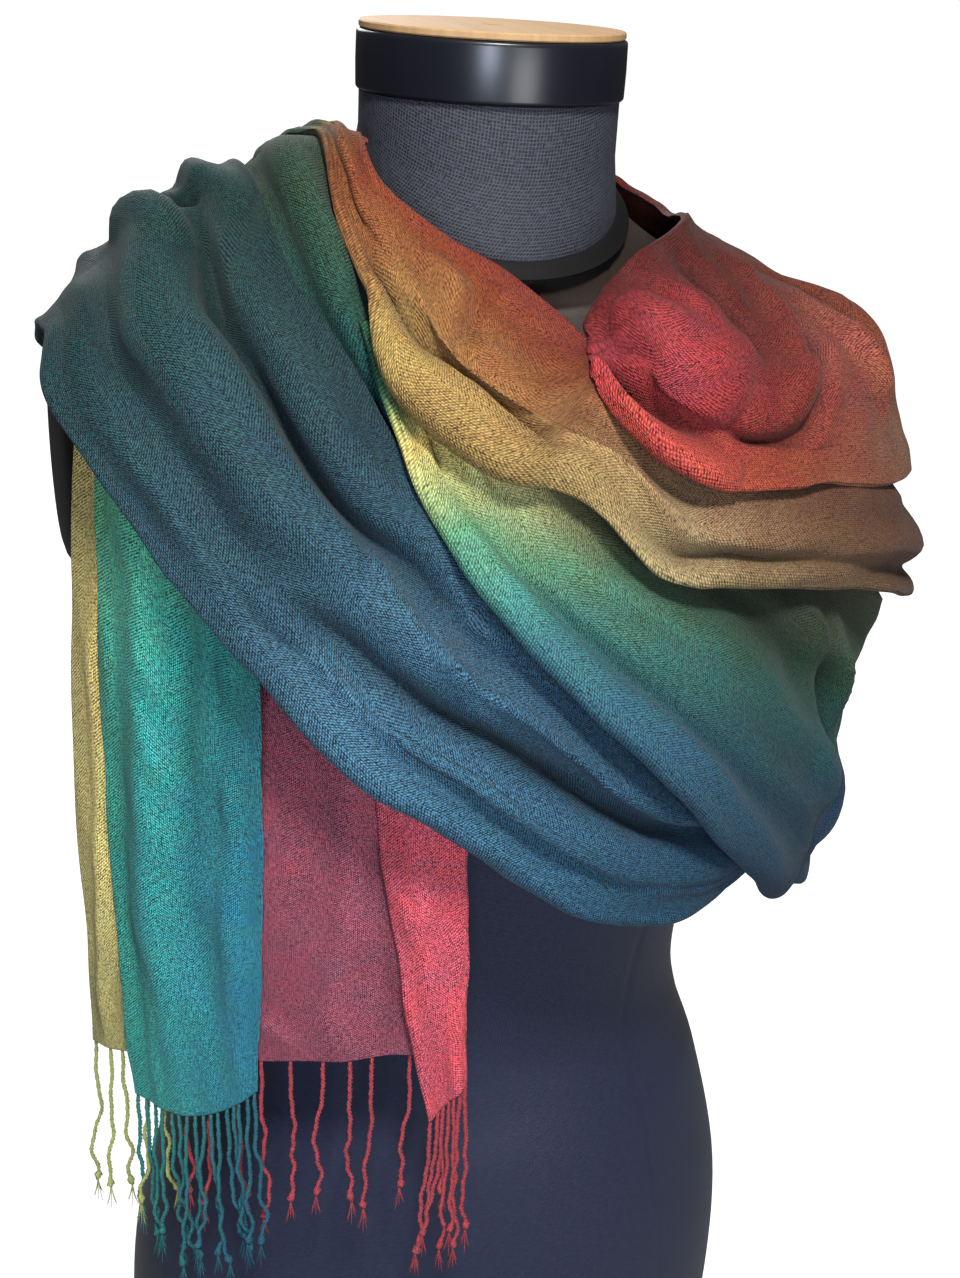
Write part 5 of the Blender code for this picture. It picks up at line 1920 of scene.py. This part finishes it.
def press_seam(rings, outwards, middle):
    """Press a groove into a stack of rings where the seam runs, in degrees at each height."""
    reach = np.linalg.norm(outwards, axis=2)
    turns = np.degrees(np.arange(FORM_SIDES) * math.tau / FORM_SIDES)
    gap = (turns[None, :] - middle[:, None] + 180.0) % 360.0 - 180.0
    groove = SEAM_DEPTH * np.exp(-(np.radians(gap) * reach / SEAM_WIDTH) ** 2)
    groove[:1] = 0.0
    rings[:, :, :2] -= outwards / reach[:, :, None] * groove[:, :, None]


rings = np.array(torso_rings(FORM_SIDES, TORSO_RINGS))
outwards = rings[:, :, :2].copy()
seam_turn = np.interp(rings[:, :, 2].mean(axis=1), [s.height for s in PRINCESS_SEAM],
                      [s.turn for s in PRINCESS_SEAM])
for middle in (seam_turn, -180.0 - seam_turn):
    for front_or_back in (1, -1):
        press_seam(rings, outwards, middle * front_or_back)
torso = form_piece("torso_jersey", rings, "jersey")
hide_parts("torso")
print("the torso has", len(torso.data.vertices), "points and four seams")

# %% [markdown]
# ## The neck and its tape
#
# The neck stands on the torso's leaning top. A black tape covers the joint: a low band of rings
# just outside the torso's top ring.

# %% Make the neck and the tape
neck = form_piece("neck_cover", neck_rings(FORM_SIDES, 40), "net")
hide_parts("neck")

# How far each ring of the tape is above the torso's top ring, and how far outside it
TAPE_PROFILE = ((-6.2, 0.6), (-5.5, 1.4), (-2.0, 1.0), (0.6, 0.9), (1.0, 0.2))
TAPE_SLOPE = 0.9
tape_rings = []
for rise, out in TAPE_PROFILE:
    out += max(0.0, -rise) * TAPE_SLOPE
    tape_rings.append([(x * (1 + out / 60.0), y * (1 + out / 59.0), z + rise)
                       for x, y, z in body_ring(TORSO[-1], FORM_SIDES)])
tape = form_piece("neck_tape", tape_rings, "tape")
print(neck.name, "and", tape.name)

# %% [markdown]
# ## The cap and the disc
#
# The cap is a short drum under satin, with its edges turned over softly. The disc on it is a thin
# round of wood with a small hole, so its inner wall is joined up instead of closed.

# %% Make the cap
# Height above the cap's foot and how far inside its full radius, ring by ring
CAP_PROFILE = ((0.0, 1.6), (0.3, 0.7), (1.0, 0.1), (2.0, 0.0), (CAP_BAND_HEIGHT / 2, -0.2),
               (CAP_BAND_HEIGHT - 2.0, 0.0), (CAP_BAND_HEIGHT - 1.0, 0.1),
               (CAP_BAND_HEIGHT - 0.3, 0.6), (CAP_BAND_HEIGHT, 1.4))


def round_ring(height, radius):
    """A level circle of points."""
    return body_ring(Ring(height, radius, radius, radius, 0.0), FORM_SIDES)


cap_foot = FORM_HEIGHT - DISC_THICKNESS - SEAT_GAP - CAP_BAND_HEIGHT
cap = form_piece("cap_satin", [round_ring(cap_foot + height, CAP_RADIUS - inset)
                               for height, inset in CAP_PROFILE], "satin")
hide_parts("neck_cap")
print("the cap is", 2 * CAP_RADIUS, "mm across")

# %% Make the disc
DISC_BEVEL = 0.6
HOLE_BEVEL = 0.4
low = FORM_HEIGHT - DISC_THICKNESS
disc_rings = [round_ring(height, radius) for radius, height in (
    (DISC_HOLE_RADIUS, low), (DISC_RADIUS - DISC_BEVEL, low), (DISC_RADIUS, low + DISC_BEVEL),
    (DISC_RADIUS, FORM_HEIGHT - DISC_BEVEL), (DISC_RADIUS - DISC_BEVEL, FORM_HEIGHT),
    (DISC_HOLE_RADIUS + HOLE_BEVEL, FORM_HEIGHT), (DISC_HOLE_RADIUS, FORM_HEIGHT - HOLE_BEVEL))]
top = (len(disc_rings) - 1) * FORM_SIDES
faces = ring_faces(len(disc_rings), FORM_SIDES)[:-2]
for i in range(FORM_SIDES):
    j = (i + 1) % FORM_SIDES
    faces.append((top + i, top + j, j, i))
disc = make_piece("disc_wood", [p for ring in disc_rings for p in ring], faces,
                  FORM_MATERIALS["wood"])
disc.data.set_sharp_from_angle(angle=math.radians(40.0))
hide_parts("neck_disc")
print("the disc is", DISC_THICKNESS, "mm thick")

# %% [markdown]
# ## The arm plates
#
# Each armhole is closed by an oval plate that bulges a little. Its rings shrink outwards, so one
# short list of depths and sizes draws both plates.

# %% Make the arm plates
PLATE_SIDES = 96
# Depth outwards in millimetres and share of the plate's full size, ring by ring
PLATE_PROFILE = ((0.0, 0.97), (1.0, 1.0), (PLATE_THICKNESS * 0.5, 1.0),
                 (PLATE_THICKNESS * 0.7, 0.985), (PLATE_THICKNESS * 0.85, 0.94),
                 (PLATE_THICKNESS, 0.84), (PLATE_THICKNESS + 0.6, 0.6),
                 (PLATE_THICKNESS + 0.9, 0.3))
for side, node in ((-1, "arm_plate_right"), (1, "arm_plate_left")):
    rings = [plate_ring(side, depth, share, PLATE_SIDES) for depth, share in PLATE_PROFILE]
    piece = form_piece(node + "_gloss", rings, "plate")
    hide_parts(node)
print("two arm plates")

# %% [markdown]
# ## What holds each sheet
#
# Every sheet of cloth is listed once more: whether it hangs or is draped, and what it rests on.

# %% List the sheets
HELD = {
    "tail_back": ("hung", ["torso_jersey"]), "tail_flap": ("hung", ["tail_back_cloth"]),
    "tail_front": ("hung", ["tail_back_cloth"]), "shoulder_fold": ("draped", ["torso_jersey"]),
    "lower_swath": ("draped", ["shoulder_fold_cloth", "torso_jersey"]),
    "side_loop": ("draped", ["lower_swath_cloth"]), "back_swath": ("draped", ["torso_jersey"]),
    "front_panel": ("draped", ["lower_swath_cloth"]),
    "middle_band": ("draped", ["front_panel_cloth", "shoulder_fold_cloth"]),
    "back_wrap": ("draped", ["back_swath_cloth"]),
    "neck_cowl": ("draped", ["middle_band_cloth", "back_wrap_cloth"]),
}
for name, (held, rests) in HELD.items():
    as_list(rests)
print(len(HELD), "sheets stated")

# %% [markdown]
# ## Camera
#
# The picture was taken from close by, a little to the form's right, looking down. The lens, the
# distance and the angles below give the same view.

# %% Set the camera
CAMERA_LENS = 45.07
CAMERA_SENSOR = 36.0
CAMERA_TURN, CAMERA_TILT, CAMERA_ROLL = -20.8, 23.83, 3.12
CAMERA_DISTANCE = 0.7475
CAMERA_RISE = 0.0364
CAMERA_SHIFT = 0.009
scene = bpy.context.scene


def place_in_scene(name, data):
    """A new object in the scene."""
    made = bpy.data.objects.new(name, data)
    scene.collection.objects.link(made)
    return made


camera_data = bpy.data.cameras.new("camera")
camera_data.lens = CAMERA_LENS
camera_data.sensor_fit = "VERTICAL"
camera_data.sensor_height = CAMERA_SENSOR
camera_data.dof.use_dof = False
camera = place_in_scene("camera", camera_data)
scene.camera = camera
turn, tilt, roll = (math.radians(angle) for angle in (CAMERA_TURN, CAMERA_TILT, CAMERA_ROLL))
ahead = Vector((-math.sin(turn) * math.cos(tilt), math.cos(turn) * math.cos(tilt),
                -math.sin(tilt)))
level = Vector((math.cos(turn), math.sin(turn), 0.0))
over = level.cross(ahead)
right = math.cos(roll) * level + math.sin(roll) * over
up = -math.sin(roll) * level + math.cos(roll) * over
place = Vector((math.sin(turn) * CAMERA_DISTANCE, -math.cos(turn) * CAMERA_DISTANCE,
                FORM_HEIGHT * MM + CAMERA_RISE)) + right * CAMERA_SHIFT + ORIGIN
camera.matrix_world = Matrix((
    (right.x, up.x, -ahead.x, place.x), (right.y, up.y, -ahead.y, place.y),
    (right.z, up.z, -ahead.z, place.z), (0.0, 0.0, 0.0, 1.0)))
print("the camera is at", [round(c, 3) for c in place])

# %% [markdown]
# ## Floor
#
# A plain pale floor runs far past the picture. It glows white for the camera only, so it looks
# bright but throws no haze onto the dark jersey.

# %% Make the floor
FLOOR_REACH = 90
FLOOR_GREY = 0.25
floor_mesh = bpy.data.meshes.new("floor")
floor_mesh.from_pydata([(x * FLOOR_REACH, y * FLOOR_REACH, 0)
                        for x, y in ((-1, -1), (1, -1), (1, 1), (-1, 1))], [], [(0, 1, 2, 3)])
floor_paint, tree, shader = new_material("floor_paint")
seen = add_node(tree, "LightPath", {}).outputs["Is Camera Ray"]
fill(tree, shader, {"Base Color": (FLOOR_GREY, FLOOR_GREY, FLOOR_GREY, 1.0), "Roughness": 0.9,
                    "Emission Color": (1.0, 1.0, 1.0, 1.0),
                    "Emission Strength": seen})
floor_mesh.materials.append(floor_paint)
floor = place_in_scene("floor", floor_mesh)
print("the floor is", 2 * FLOOR_REACH, "m wide")

# %% [markdown]
# ## Light
#
# One strong soft lamp above the front models the folds. A faint bluish window, a low fill and a
# lamp behind keep the shadows open. Each is an area lamp, because a large lamp has soft shadows.

# %% Set the lamps
# A soft lamp: where it is, where it points, its size in metres and its power in watts
Lamp = namedtuple("Lamp", "name place target size power colour")
LAMPS = [
    Lamp("window", (-0.62, -1.55, 0.92), (0.0, 0.0, 0.84), 0.28, 12.0, (0.72, 0.82, 1.0)),
    Lamp("key", (-0.30, -1.25, 2.35), (0.0, 0.0, 0.62), 0.34, 72.0, (1.0, 0.98, 0.95)),
    Lamp("fill", (0.30, -2.05, 0.60), (0.0, 0.0, 0.38), 0.7, 16.0, (0.94, 0.97, 1.0)),
    Lamp("back", (0.1, 2.3, 1.7), (0.0, 0.0, 0.55), 1.2, 30.0, (1.0, 1.0, 1.0)),
]
for lamp in LAMPS:
    data = bpy.data.lights.new(lamp.name, "AREA")
    data.size, data.energy, data.color = lamp.size, lamp.power, lamp.colour
    made = place_in_scene(lamp.name, data)
    made.location = lamp.place
    aim = Vector(lamp.target) - Vector(lamp.place)
    made.rotation_euler = aim.to_track_quat("-Z", "Y").to_euler()
print(len(LAMPS), "lamps")

# %% Set the room's own light
ROOM_LIGHT = 0.11
ROOM_SEEN = 0.9
world = bpy.data.worlds.new("room")
scene.world = world
world.use_nodes = True
tree = world.node_tree
seen = add_node(tree, "LightPath", {}).outputs["Is Camera Ray"]
fill(tree, tree.nodes["Background"], {
    0: (1.0, 1.0, 1.0, 1.0), 1: maths(tree, "MULTIPLY_ADD", seen, ROOM_SEEN, ROOM_LIGHT)})
scene.view_settings.view_transform = "Standard"
print("the room gives", ROOM_LIGHT, "of its light to the pieces")
